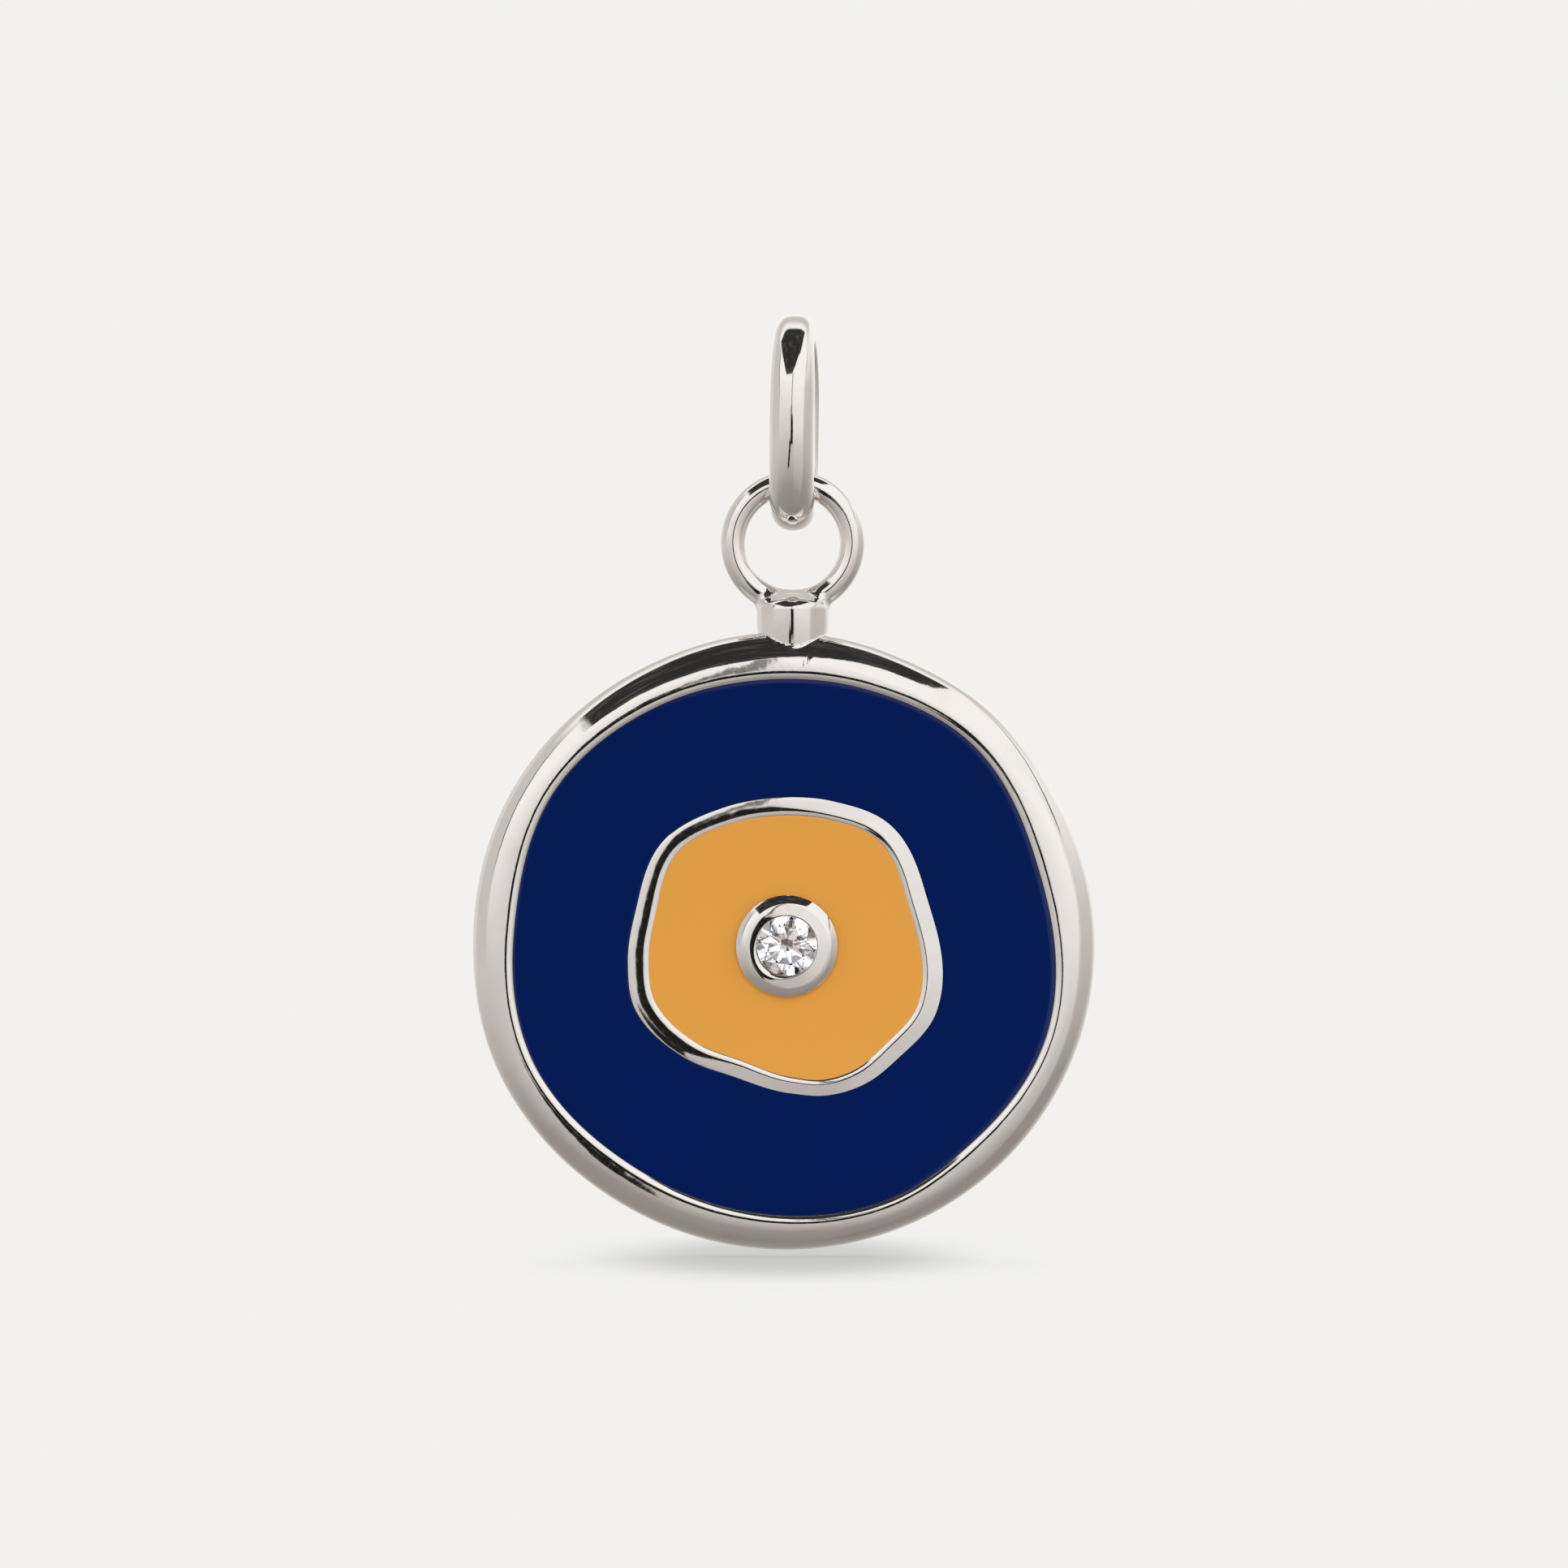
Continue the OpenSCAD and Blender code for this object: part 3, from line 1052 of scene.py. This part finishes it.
    def soften(self, shell: Shell, others: list[Callable[[np.ndarray], np.ndarray]]) -> Shell:
        """Moves the points near a seam out onto the melted surface.

        Args:
            shell: one of the three parts.
            others: the distances from the other two.

        Returns:
            The shell with its fillets.
        """
        points = shell.points.copy()
        reach = max(self.ring_flow, self.rim_flow)
        x, z = Place.RING_X, Place.RIM_TOP_Z + self.seam_rise
        close = np.nonzero(np.hypot(points[:, 0] - x, points[:, 2] - z) < self.seam_reach)[0]
        near = np.min([other(points[close]) for other in others], 0)
        kept = (near < reach) & (near > -2 * self.overlap)
        chosen, near = close[kept], near[kept]
        start = points[chosen]
        p = start.copy()
        steps = self.probe * np.eye(3)
        for _ in range(self.passes):
            here = self.whole(p)
            change = np.stack([self.whole(p + step) - self.whole(p - step) for step in steps], -1)
            slope = change / (2 * self.probe)
            p -= (here / np.maximum((slope**2).sum(1), self.least_slope))[:, None] * slope
        share = np.clip((near + 2 * self.overlap) / self.overlap, 0.0, 1.0)[:, None]
        points[chosen] = start + share * (p - start)
        return Shell(points, shell.faces)


@dataclass
class Rim:
    """The round bead rim: a short inner bevel, a full outer bead and a rounded back edge."""

    crest_in: float = 0.2
    bevel_drop: float = 0.12
    bulge: float = 0.8
    back_round: float = 0.5
    columns: int = 720
    peg_from: float = 80.0
    peg_to: float = 100.0
    peg_columns: int = 200

    def degrees(self) -> np.ndarray:
        """Angles round the rim, closer together beside the peg.

        Returns:
            The angles from +X towards +Z, in order.
        """
        plain = around(self.columns, TURN)
        fine = np.linspace(self.peg_from, self.peg_to, self.peg_columns, endpoint=False)
        return np.sort(np.concatenate([plain[(plain < self.peg_from) | (plain >= self.peg_to)], fine]))

    def section(self, degrees: np.ndarray) -> np.ndarray:
        """The section from the enamel's edge round the outside to the back.

        Args:
            degrees: angles round the rim.

        Returns:
            Points as [row, angle, (radius, depth)].
        """
        inner, outer = FIELD.at(degrees), RIM.at(degrees)
        crest, wide = inner + self.crest_in, Depth.CREST + self.bulge
        rows = [
            (crest - self.crest_in * math.sin(t), Depth.CREST + self.bevel_drop * (1 - math.cos(t)))
            for t in quarter(8)[::-1]
        ]
        rows += [
            (crest + (outer - crest) * math.sin(t), Depth.CREST + self.bulge * (1 - math.cos(t)))
            for t in quarter(24)[1:]
        ]
        rows += [
            (outer - self.back_round * (1 - math.cos(t)), wide + (Depth.BACK - wide) * math.sin(t))
            for t in quarter(9)[1:]
        ]
        rows.append((inner, Depth.BACK))
        return np.array([[radius, np.full_like(radius, depth)] for radius, depth in rows]).transpose(0, 2, 1)

    def shell(self) -> Shell:
        """Sweeps the section round the disc.

        Returns:
            The closed tube.
        """
        degrees = self.degrees()
        section = self.section(degrees)
        return Shell.tube(disc_points(degrees, section[..., 0], section[..., 1])).outward()


@dataclass
class Plate:
    """The back plate, set into the rim, with its plain back panel."""

    bite: float = 0.25
    front: float = -0.1
    columns: int = 360

    def shell(self) -> Shell:
        """Makes the plate as a flat slab, with a ring of points halfway out on both sides.

        Returns:
            The closed shell.
        """
        degrees = around(self.columns, TURN)
        edge = FIELD.at(degrees) + self.bite
        shares = np.array([0.0, 0.5, 1.0])
        rows = [(share * edge, self.front) for share in shares]
        rows += [(share * edge, Depth.PANEL) for share in shares[::-1]]
        return Shell.turned(disc_grid(degrees, rows)).outward()


@dataclass
class IrisWall:
    """The wavy metal wall between the two enamels."""

    crest_in: float = 0.2
    rise: float = 0.040
    rise_swing: float = 0.008
    flattest_at: float = 150.0
    full_at: float = 162.0
    full_change: float = 2.5
    plain_crest: float = 0.2
    sunk: float = 0.1
    columns: int = 540

    def shell(self) -> Shell:
        """Sweeps the wall: a full round crest on the left, and a plain slope outwards elsewhere.

        Returns:
            The closed tube.
        """
        degrees = around(self.columns, TURN)
        outer, inner = IRIS.at(degrees), wall_inside(degrees)
        plain = 1 - np.clip(self.full_change * np.cos(np.radians(degrees - self.full_at)), 0.0, 1.0)
        crest_in = self.crest_in * (1 - self.plain_crest * plain)
        crest, foot = inner + crest_in, Depth.FLOOR + self.sunk
        rise = self.rise - self.rise_swing * np.cos(np.radians(degrees - self.flattest_at))
        rows = [(inner, foot)]
        for t in quarter(9)[::-1]:
            rows.append((crest - crest_in * math.sin(t), Depth.ENAMEL - rise * math.cos(t)))
        for t in quarter(12)[1:]:
            share = (1 - plain) * math.cos(t) + plain * (1 - math.sin(t))
            rows.append((crest + (outer - crest) * math.sin(t), Depth.ENAMEL - rise * share))
        rows.append((outer, foot))
        return Shell.tube(disc_grid(degrees, rows)).outward()


@dataclass
class Bezel:
    """The rubbed-over bezel: a bevelled outer edge, a lip over the stone, and the seat under it."""

    stone: Brilliant
    diameter: float = 2.93
    rise: float = 0.38
    grip: float = 0.135
    lip_round: float = 0.02
    lip_spread: float = 0.14
    spread_at: float = 228.0
    flat_at: float = 182.0
    flat_change: float = 1.6
    lip_fall: float = 0.032
    edge: float = 0.24
    bevel: float = 0.09
    bevel_curve: float = 0.08
    gap: float = 0.02
    drill: float = 0.7
    foot: float = -1.02
    columns: int = 192

    def profile(self, angle: float) -> list[tuple[float, float]]:
        """The profile from the axis round to the axis.

        Args:
            angle: where on the bezel, in radians from +X towards +Z.

        Returns:
            The profile's corners as (radius, height in front of the enamel).
        """
        stone = self.stone
        pressed = max(math.cos(angle - math.radians(self.spread_at)), 0.0)
        flat = min(self.flat_change * max(math.cos(angle - math.radians(self.flat_at)), 0.0), 1.0)
        outer, lip = self.diameter / 2, stone.radius - self.grip
        lip_round = self.lip_round + self.lip_spread * pressed**3
        edge_foot, crest = outer - self.edge, lip + lip_round
        seat, low = stone.radius + self.gap, stone.girdle_low - self.gap
        rows = [(0.0, self.foot), (outer, self.foot)]
        rows += [
            (edge_foot + self.edge * s, self.rise - self.lip_fall - self.bevel * s - self.bevel_curve * s**2)
            for s in np.linspace(1.0, 0.0, 10)
        ]
        rows += [
            (crest + (edge_foot - crest) * s, self.rise - self.lip_fall * s * (1 - flat + flat * s**3))
            for s in np.linspace(1.0, 0.0, 14)[1:-1]
        ]
        rows += [
            (lip + lip_round * (1 - math.sin(t)), self.rise - lip_round * (1 - math.cos(t)))
            for t in quarter(6)
        ]
        rows += [
            (lip, stone.girdle_top + self.grip * stone.crown_slope + 1.5 * self.gap),
            (seat, stone.girdle_top + self.gap),
            (seat, low),
            (self.drill, low - (seat - self.drill) * stone.pavilion_slope),
            (self.drill, stone.culet - 2 * self.gap),
            (0.0, stone.culet - 2 * self.gap),
        ]
        return rows

    def shell(self) -> Shell:
        """Turns the profile. The face was rubbed flatter on the left, and the lip spread at the lower left.

        Returns:
            The closed shell.
        """
        a = around(self.columns)
        radius, height = np.array([self.profile(t) for t in a]).T
        return Shell.turned(on_bezel(radius * np.cos(a), radius * np.sin(a), height)).outward()


@dataclass
class HangingRing:
    """The round wire ring that hangs on the bail."""

    radius: float
    wire: float
    columns: int = 288
    sides: int = 40

    def shell(self) -> Shell:
        """Sweeps the wire round the ring.

        Returns:
            The closed tube.
        """
        a = around(self.columns)[None, :]
        s = around(self.sides)[:, None]
        reach = self.radius + self.wire / 2 * np.cos(s)
        depth = np.broadcast_to(self.wire / 2 * np.sin(s), (self.sides, self.columns))
        grid = np.stack([Place.RING_X + reach * np.cos(a), depth, Place.RING_Z + reach * np.sin(a)], -1)
        return Shell.tube(grid).outward()


@dataclass
class Peg:
    """The short domed peg that carries the ring on the rim."""

    columns: int = 144

    def shell(self, solder: Solder) -> Shell:
        """Turns the peg's profile about its upright axis.

        Args:
            solder: the sizes that the peg shares with its seams.

        Returns:
            The closed shell.
        """
        rows = solder.peg_profile()
        rows[-1, 0] = 0.0
        radius, height = rows[:, :1], rows[:, 1:]
        a = around(self.columns)
        x, y = Place.RING_X + radius * np.cos(a), solder.peg_depth * radius * np.sin(a)
        z = np.broadcast_to(Place.RIM_TOP_Z + height, x.shape)
        return Shell.turned(np.stack([x, y, z], -1)).outward()


@dataclass
class PendantFrame:
    """All the soldered metal of the drop, as one piece."""

    stone: Brilliant
    name: str = "silver_frame"

    def make(self, silver: bpy.types.Material) -> bpy.types.Object:
        """Builds the frame in place of its CAD solid.

        Args:
            silver: the plated silver.

        Returns:
            The piece.
        """
        solder = Solder()
        rim = solder.soften(Rim().shell(), [solder.from_peg, solder.from_ring])
        ring = HangingRing(solder.ring_radius, solder.wire).shell()
        ring = solder.soften(ring, [solder.from_peg, solder.from_rim])
        peg = solder.soften(Peg().shell(solder), [solder.from_ring, solder.from_rim])
        bezel = Bezel(self.stone).shell()
        made = build(self.name, Shell.joined([rim, Plate().shell(), IrisWall().shell(), bezel, ring, peg]))
        made.data.materials.append(silver)
        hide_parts("pendant_frame")
        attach(made, "drop")
        return made


# Enamels


class Tuck:
    """How far the enamels reach in under the metal at their edges, in millimetres."""

    RIM = 0.03
    WALL = 0.04
    BEZEL = 0.025


@dataclass
class EnamelField:
    """One flat pool of enamel between two closed edges, a hair under the metal at each edge."""

    name: str
    node: str
    slot: Slot
    outer: Callable[[np.ndarray], np.ndarray]
    inner: Callable[[np.ndarray], np.ndarray]
    columns: int = 540
    rows: int = 14
    meniscus: float = 0.004
    meniscus_w: float = 0.02

    def make(self, enamel: bpy.types.Material) -> bpy.types.Object:
        """Builds the pool in place of its CAD solid.

        Args:
            enamel: the pool's material.

        Returns:
            The piece.
        """
        degrees = around(self.columns, TURN)
        outer, inner = self.outer(degrees), self.inner(degrees)
        rows = []
        for share in (1 - np.cos(np.linspace(0, math.pi, self.rows))) / 2:
            radius = outer + (inner - outer) * share
            edge = np.minimum(outer - radius, radius - inner)
            rows.append((radius, Depth.ENAMEL + self.meniscus * np.exp(-((edge / self.meniscus_w) ** 2))))
        rows += [(inner, Depth.FLOOR), (outer, Depth.FLOOR)]
        made = build(self.name, Shell.tube(disc_grid(degrees, rows)).outward())
        made.data.materials.append(enamel)
        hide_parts(self.node)
        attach(made, "drop")
        return made


def round_hole(radius: float) -> Callable[[np.ndarray], np.ndarray]:
    """The bezel's circle as seen from the disc's middle.

    Args:
        radius: the circle's radius.

    Returns:
        A function from angles in degrees to distances from the disc's middle.
    """

    def reach(degrees: np.ndarray) -> np.ndarray:
        """Distance to the circle along each angle.

        Args:
            degrees: the angles from +X towards +Z.

        Returns:
            The distances, in millimetres.
        """
        a = np.radians(degrees)
        along = Place.BEZEL_X * np.cos(a) + Place.BEZEL_Z * np.sin(a)
        off = Place.BEZEL_X**2 + Place.BEZEL_Z**2
        return along + np.sqrt(radius**2 - off + along**2)

    return reach


# The bail


@dataclass
class Bail:
    """The closed oval bail: a bar with a full outer face, swept round an upright oval."""

    name: str = "silver_bail"
    height: float = 6.28
    depth: float = 4.0
    width: float = 1.3
    top_width: float = 1.14
    thickness: float = 0.86
    bulge: float = 0.62
    fullness: float = 2.4
    squareness: float = 2.1
    top_squareness: float = 2.85
    turn: float = 3.0
    lean: float = 0.8
    columns: int = 420
    sides: int = 56
    path_steps: int = 8000

    def path(self) -> np.ndarray:
        """The oval's parameter at even steps along its length.

        Returns:
            The parameters in radians.
        """
        t = np.linspace(0, math.tau, self.path_steps + 1)
        y, z = self.oval(t)
        length = np.concatenate([[0], np.cumsum(np.hypot(np.diff(y), np.diff(z)))])
        return np.interp(around(self.columns, length[-1]), length, t)

    def oval(self, t: np.ndarray) -> tuple[np.ndarray, np.ndarray]:
        """The inner oval.

        Args:
            t: the parameter in radians.

        Returns:
            Depth and height from its middle.
        """
        a, b = self.depth / 2 - self.thickness, self.height / 2 - self.thickness
        power = 2 / self.fullness
        return a * signed_power(np.cos(t), power), b * signed_power(np.sin(t), power)

    def grid(self) -> np.ndarray:
        """The bail's points, upright and square to the frame.

        Returns:
            Points as [row round the bar, column along it, xyz].
        """
        a, b = self.depth / 2 - self.thickness, self.height / 2 - self.thickness
        power = self.fullness - 1
        y, z = self.oval(self.path())
        ny, nz = signed_power(y / a, power) / a, signed_power(z / b, power) / b
        size = np.hypot(ny, nz)
        ny, nz = ny / size, nz / size
        rise = np.maximum(0, (z - b / 3) / (2 * b / 3))
        half = (self.width - (self.width - self.top_width) * rise**2) / 2
        s = around(self.sides)[:, None]
        hollow = self.thickness - self.bulge
        share = 2 / (self.squareness + (self.top_squareness - self.squareness) * rise)
        across, outwards = signed_power(np.cos(s), share), signed_power(np.sin(s), share)
        out = hollow + np.where(outwards > 0, self.bulge, hollow) * outwards
        return np.stack([half * across, y + ny * out, z - b + nz * out], -1)

    def make(self, silver: bpy.types.Material) -> bpy.types.Object:
        """Builds the bail in place of its CAD solid.

        Args:
            silver: the plated silver.

        Returns:
            The piece.
        """
        turned = turn_about(2, -self.turn) @ turn_about(1, self.lean)
        made = build(self.name, Shell.tube(self.grid() @ turned.T).outward())
        made.data.materials.append(silver)
        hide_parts("bail")
        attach(made, "bail")
        return made


# The studio


@dataclass(frozen=True)
class Patch:
    """A stretch of the surround, in degrees, with how soft its edges are to the sides and in height."""

    sides: tuple[float, float]
    heights: tuple[float, float]
    soft: tuple[float, float]

    def mask(self, side: Value, height: Value) -> Value:
        """How much a direction lies in the stretch, from 0 to 1."""
        return side.between(*self.sides, self.soft[0]) * height.between(*self.heights, self.soft[1])


@dataclass(frozen=True)
class Surround:
    """The photographer's tent: pale walls, a dark opening overhead, the dark lens, and a grey table below.

    Angles are in degrees. The side is 0 towards the camera and positive to the right, and the height is
    above level. The opening's measures are shares of its height above the pendant.
    """

    levels: tuple = (
        (-90, (0.275, 0.25, 0.235)), (-40, (0.345, 0.32, 0.30)), (-18, (0.53, 0.505, 0.485)),
        (-4, (0.64, 0.62, 0.60)), (8, (0.87, 0.85, 0.835)), (22, (1.02, 1.01, 1.0)),
    )
    behind_shift: float = 12.0
    right_shift: float = 12.0
    ahead_shift: float = 7.0
    far_left: Colour = (0.76, 0.735, 0.71, 1.0)
    far_left_at: Patch = Patch((-152, -115), (-3, 45), (4.0, 5.0))
    left_wall: Colour = (0.63, 0.61, 0.59, 1.0)
    left_wall_at: Patch = Patch((-115, -62), (-3, 45), (4.0, 5.0))
    gap: Colour = grey(0.05)
    left_gap: Patch = Patch((-66, -63), (12, 40), (1.0, 5.0))
    right_gap: Patch = Patch((68, 116), (-1.3, 1.3), (4.0, 0.8))
    right_gap_foot: float = 21.0
    right_gap_slant: float = 0.64
    behind: Colour = (0.62, 0.60, 0.575, 1.0)
    opening: Colour = grey(0.03)
    folds: Colour = grey(0.10)
    opening_left: float = -0.87
    opening_right: float = 0.66
    opening_front: float = 1.95
    opening_back: float = 0.1
    lens: Colour = grey(0.012)
    lens_left: float = -5.6
    lens_right: float = 3.0
    lens_top: float = 7.0
    lens_foot: float = -8.0
    lens_soft: float = 0.8
    stand: Patch = Patch((-3.6, 3.4), (-24, -5), (0.8, 2.0))
    stand_left: float = 4.5
    stand_lean: float = 0.45
    arm: Patch = Patch((-3.2, -0.8), (5, 28), (0.5, 2.0))
    arm_share: float = 0.8

    def colour(self, net: Net) -> Socket:
        """The surround's colour by direction.

        Args:
            net: the world's tree.

        Returns:
            A colour output.
        """
        towards = net.node("ShaderNodeTexCoord").outputs["Generated"]
        split = net.node("ShaderNodeSeparateXYZ", {}, {0: towards})
        x, y, z = (Value(net, out) for out in split.outputs)
        side = x.angle_from(-y) * math.degrees(1)
        height = z.arcsine() * math.degrees(1)
        stops = [((angle + 90) / 180, level) for angle, level in self.levels]
        behind, right, ahead = abs(side).rise(125, 160), side.between(60, 122, 8.0), side.between(6, 56, 3.0)
        seen = height + self.behind_shift * behind - self.right_shift * right + self.ahead_shift * ahead
        colour = net.node("ShaderNodeValToRGB", {"stops": stops}, {0: (seen + 90) / 180}).outputs[0]
        colour = self._walls(net, colour, side, height)
        cloth = net.mix(net.noise(towards, 7.0, 3.0, 0.6).rise(0.48, 0.75), self.opening, self.folds)
        colour = self._overhead(net, colour, cloth, x / z.most(0.02), -y / z.most(0.02), z)
        return self._lens(net, colour, side, height)

    def _walls(self, net: Net, colour: Socket, side: Value, height: Value) -> Socket:
        """Paints the greyer walls on the left, and the thin dark gap on each side.

        Args:
            net: the world's tree.
            colour: what is painted so far.
            side: each direction's side.
            height: each direction's height.

        Returns:
            The new colour.
        """
        colour = net.mix(self.far_left_at.mask(side, height), colour, self.far_left)
        colour = net.mix(self.left_wall_at.mask(side, height), colour, self.left_wall)
        above = height - self.right_gap_foot - self.right_gap_slant * (side - 70)
        gaps = self.left_gap.mask(side, height) + self.right_gap.mask(side, above)
        return net.mix(gaps.least(1.0), colour, self.gap)

    def _overhead(
        self, net: Net, colour: Socket, cloth: Socket, across: Value, ahead: Value, above: Value
    ) -> Socket:
        """Paints the greyer ceiling at the back, and the dark opening, which is wider on the left.

        Args:
            net: the world's tree.
            colour: what is painted so far.
            cloth: the dark that is seen through the opening.
            across: places to the right on a level ceiling, as shares of its height.
            ahead: places towards the camera on it.
            above: the upward part of each direction.

        Returns:
            The new colour.
        """
        front = self.opening_front - 1.05 * across.rise(-0.2, 0.45) - 1.6 * across.rise(0.45, 0.72)
        back = self.opening_back - 0.2 * across.rise(-0.8, -0.15)
        ceiling = (back - ahead).rise(0.1, 0.6) * above.rise(0.42, 0.7)
        colour = net.mix(ceiling, colour, self.behind)
        opening = across.between(self.opening_left, self.opening_right, 0.04)
        opening = opening * (front - ahead).rise(-0.06, 0.06) * (ahead - back).rise(-0.05, 0.05)
        return net.mix(opening * above.rise(0.02, 0.05), colour, cloth)

    def _lens(self, net: Net, colour: Socket, side: Value, height: Value) -> Socket:
        """Paints the dark lens ahead, its stand, which leans to the left below, and a thin arm above.

        Args:
            net: the world's tree.
            colour: what is painted so far.
            side: each direction's side.
            height: each direction's height.

        Returns:
            The new colour.
        """
        lean = side + self.stand_left - self.stand_lean * height.least(0.0)
        stand = self.stand.mask(lean, height)
        top = self.lens_top - 3.8 * side.rise(-3.5, -1.0)
        soft, foot = self.lens_soft, self.lens_foot
        lens = side.between(self.lens_left, self.lens_right, 0.6) * (top - height).rise(-soft, soft)
        lens = lens * height.rise(foot - soft, foot + soft)
        dark = stand.most(self.arm.mask(side, height) * self.arm_share).most(lens)
        return net.mix(dark, colour, self.lens)


@dataclass
class Studio:
    """The camera, the surround that the metal mirrors, two soft lamps and the floor."""

    camera_back: float = 300.0
    view_x: float = -0.33
    view_z: float = -12.77
    view_w: float = 45.52
    sensor_w: float = 36.0
    floor_z: float = -26.5
    floor_radius: float = 48.0
    floor_rings: int = 4
    floor_sides: int = 96
    backdrop: Colour = (0.888, 0.880, 0.863, 1.0)

    def camera(self) -> bpy.types.Object:
        """Sets up the camera, level and straight on, as far off as a long lens stands.

        Returns:
            The camera.
        """
        data = bpy.data.cameras.new("camera")
        data.sensor_width = self.sensor_w
        data.lens = self.sensor_w * self.camera_back / self.view_w
        data.clip_start, data.clip_end = 0.01, 20.0
        made = add_object("camera", data)
        made.location = Vector((self.view_x, -self.camera_back, self.view_z)) * MM
        made.rotation_euler = (math.pi / 2, 0.0, 0.0)
        bpy.context.scene.camera = made
        return made

    def surround(self) -> None:
        """Paints what the metal mirrors round the pendant. The camera itself sees a plain backdrop."""
        world = bpy.data.worlds.new("studio")
        bpy.context.scene.world = world
        world.use_nodes = True
        net = Net(world.node_tree)
        seen = net.node("ShaderNodeBackground", {}, {"Color": self.backdrop, "Strength": 1.0})
        mirrored = net.node("ShaderNodeBackground", {}, {"Color": Surround().colour(net), "Strength": 1.0})
        is_camera = net.node("ShaderNodeLightPath").outputs["Is Camera Ray"]
        choice = {0: is_camera, 1: mirrored.outputs[0], 2: seen.outputs[0]}
        both = net.node("ShaderNodeMixShader", {}, choice)
        net.node("ShaderNodeOutputWorld", {}, {"Surface": both.outputs[0]})

    def lamp(self, name: str, strength: float, spread_deg: float, aim: tuple[float, float, float]) -> None:
        """Adds one large soft lamp that no polished surface mirrors.

        Args:
            name: the lamp's name.
            strength: how bright it is.
            spread_deg: how wide it looks from the pendant.
            aim: the direction that its light travels in.
        """
        data = bpy.data.lights.new(name, "SUN")
        data.energy = strength
        data.angle = math.radians(spread_deg)
        made = add_object(name, data)
        made.rotation_mode = "QUATERNION"
        made.rotation_quaternion = Vector(aim).to_track_quat("-Z", "Y")
        made.visible_glossy = False

    def floor(self) -> bpy.types.Object:
        """Lays the round floor just under the disc.

        Returns:
            The floor.
        """
        a = around(self.floor_sides)
        radius = np.linspace(0.0, self.floor_radius, self.floor_rings + 1)[:, None]
        x, y = radius * np.cos(a), radius * np.sin(a)
        number = np.arange(x.size).reshape(x.shape)
        middle = np.stack([np.zeros_like(number[1]), number[1], np.roll(number[1], -1)], -1)
        points = np.stack([x, y, np.zeros_like(x)], -1).reshape(-1, 3)
        made = build("pale_floor", Shell(points, [band(number[1:-1], number[2:]), middle]))
        made.location = Vector((Place.DISC_X, 0.0, self.floor_z)) * MM
        made.data.materials.append(PaleFloor().material())
        made.visible_glossy = False
        return made

    def light(self) -> None:
        """Sets the surround, the lamps and the way that colours are shown."""
        bpy.context.scene.view_settings.view_transform = "Standard"
        self.surround()
        self.lamp("overhead_lamp", strength=1.1, spread_deg=150.0, aim=(0.0, 0.0, -1.0))
        self.lamp("front_lamp", strength=1.0, spread_deg=60.0, aim=(0.0, 1.0, -0.2))


def main() -> None:
    """Builds the studio and the pendant's pieces, and logs each piece's face count."""
    logging.basicConfig(level=logging.INFO, format="%(name)s: %(message)s")
    studio = Studio()
    log.info("camera %s", studio.camera().name)
    studio.light()
    studio.floor()

    silver = PlatedSilver().material()
    navy = Enamel("navy_enamel", (0.0008, 0.0103, 0.0845, 1.0), (0.0006, 0.0095, 0.079, 1.0)).material()
    amber = Enamel("amber_enamel", (0.715, 0.325, 0.0605, 1.0), (0.715, 0.325, 0.060, 1.0)).material()
    stone = Brilliant()
    navy_edges = (lambda a: FIELD.at(a) + Tuck.RIM), (lambda a: IRIS.at(a) - Tuck.WALL)
    amber_edges = (lambda a: wall_inside(a) + Tuck.WALL), round_hole(Bezel.diameter / 2 - Tuck.BEZEL)
    pieces = [
        PendantFrame(stone).make(silver),
        Bail().make(silver),
        EnamelField("navy_pool", "navy_enamel", Slot.NAVY, *navy_edges).make(navy),
        EnamelField("amber_pool", "amber_enamel", Slot.AMBER, *amber_edges).make(amber),
        stone.make(CutStone().material()),
    ]
    for piece in pieces:
        log.info("%s has %d faces", piece.name, len(piece.data.polygons))


if __name__ == "__main__":
    main()
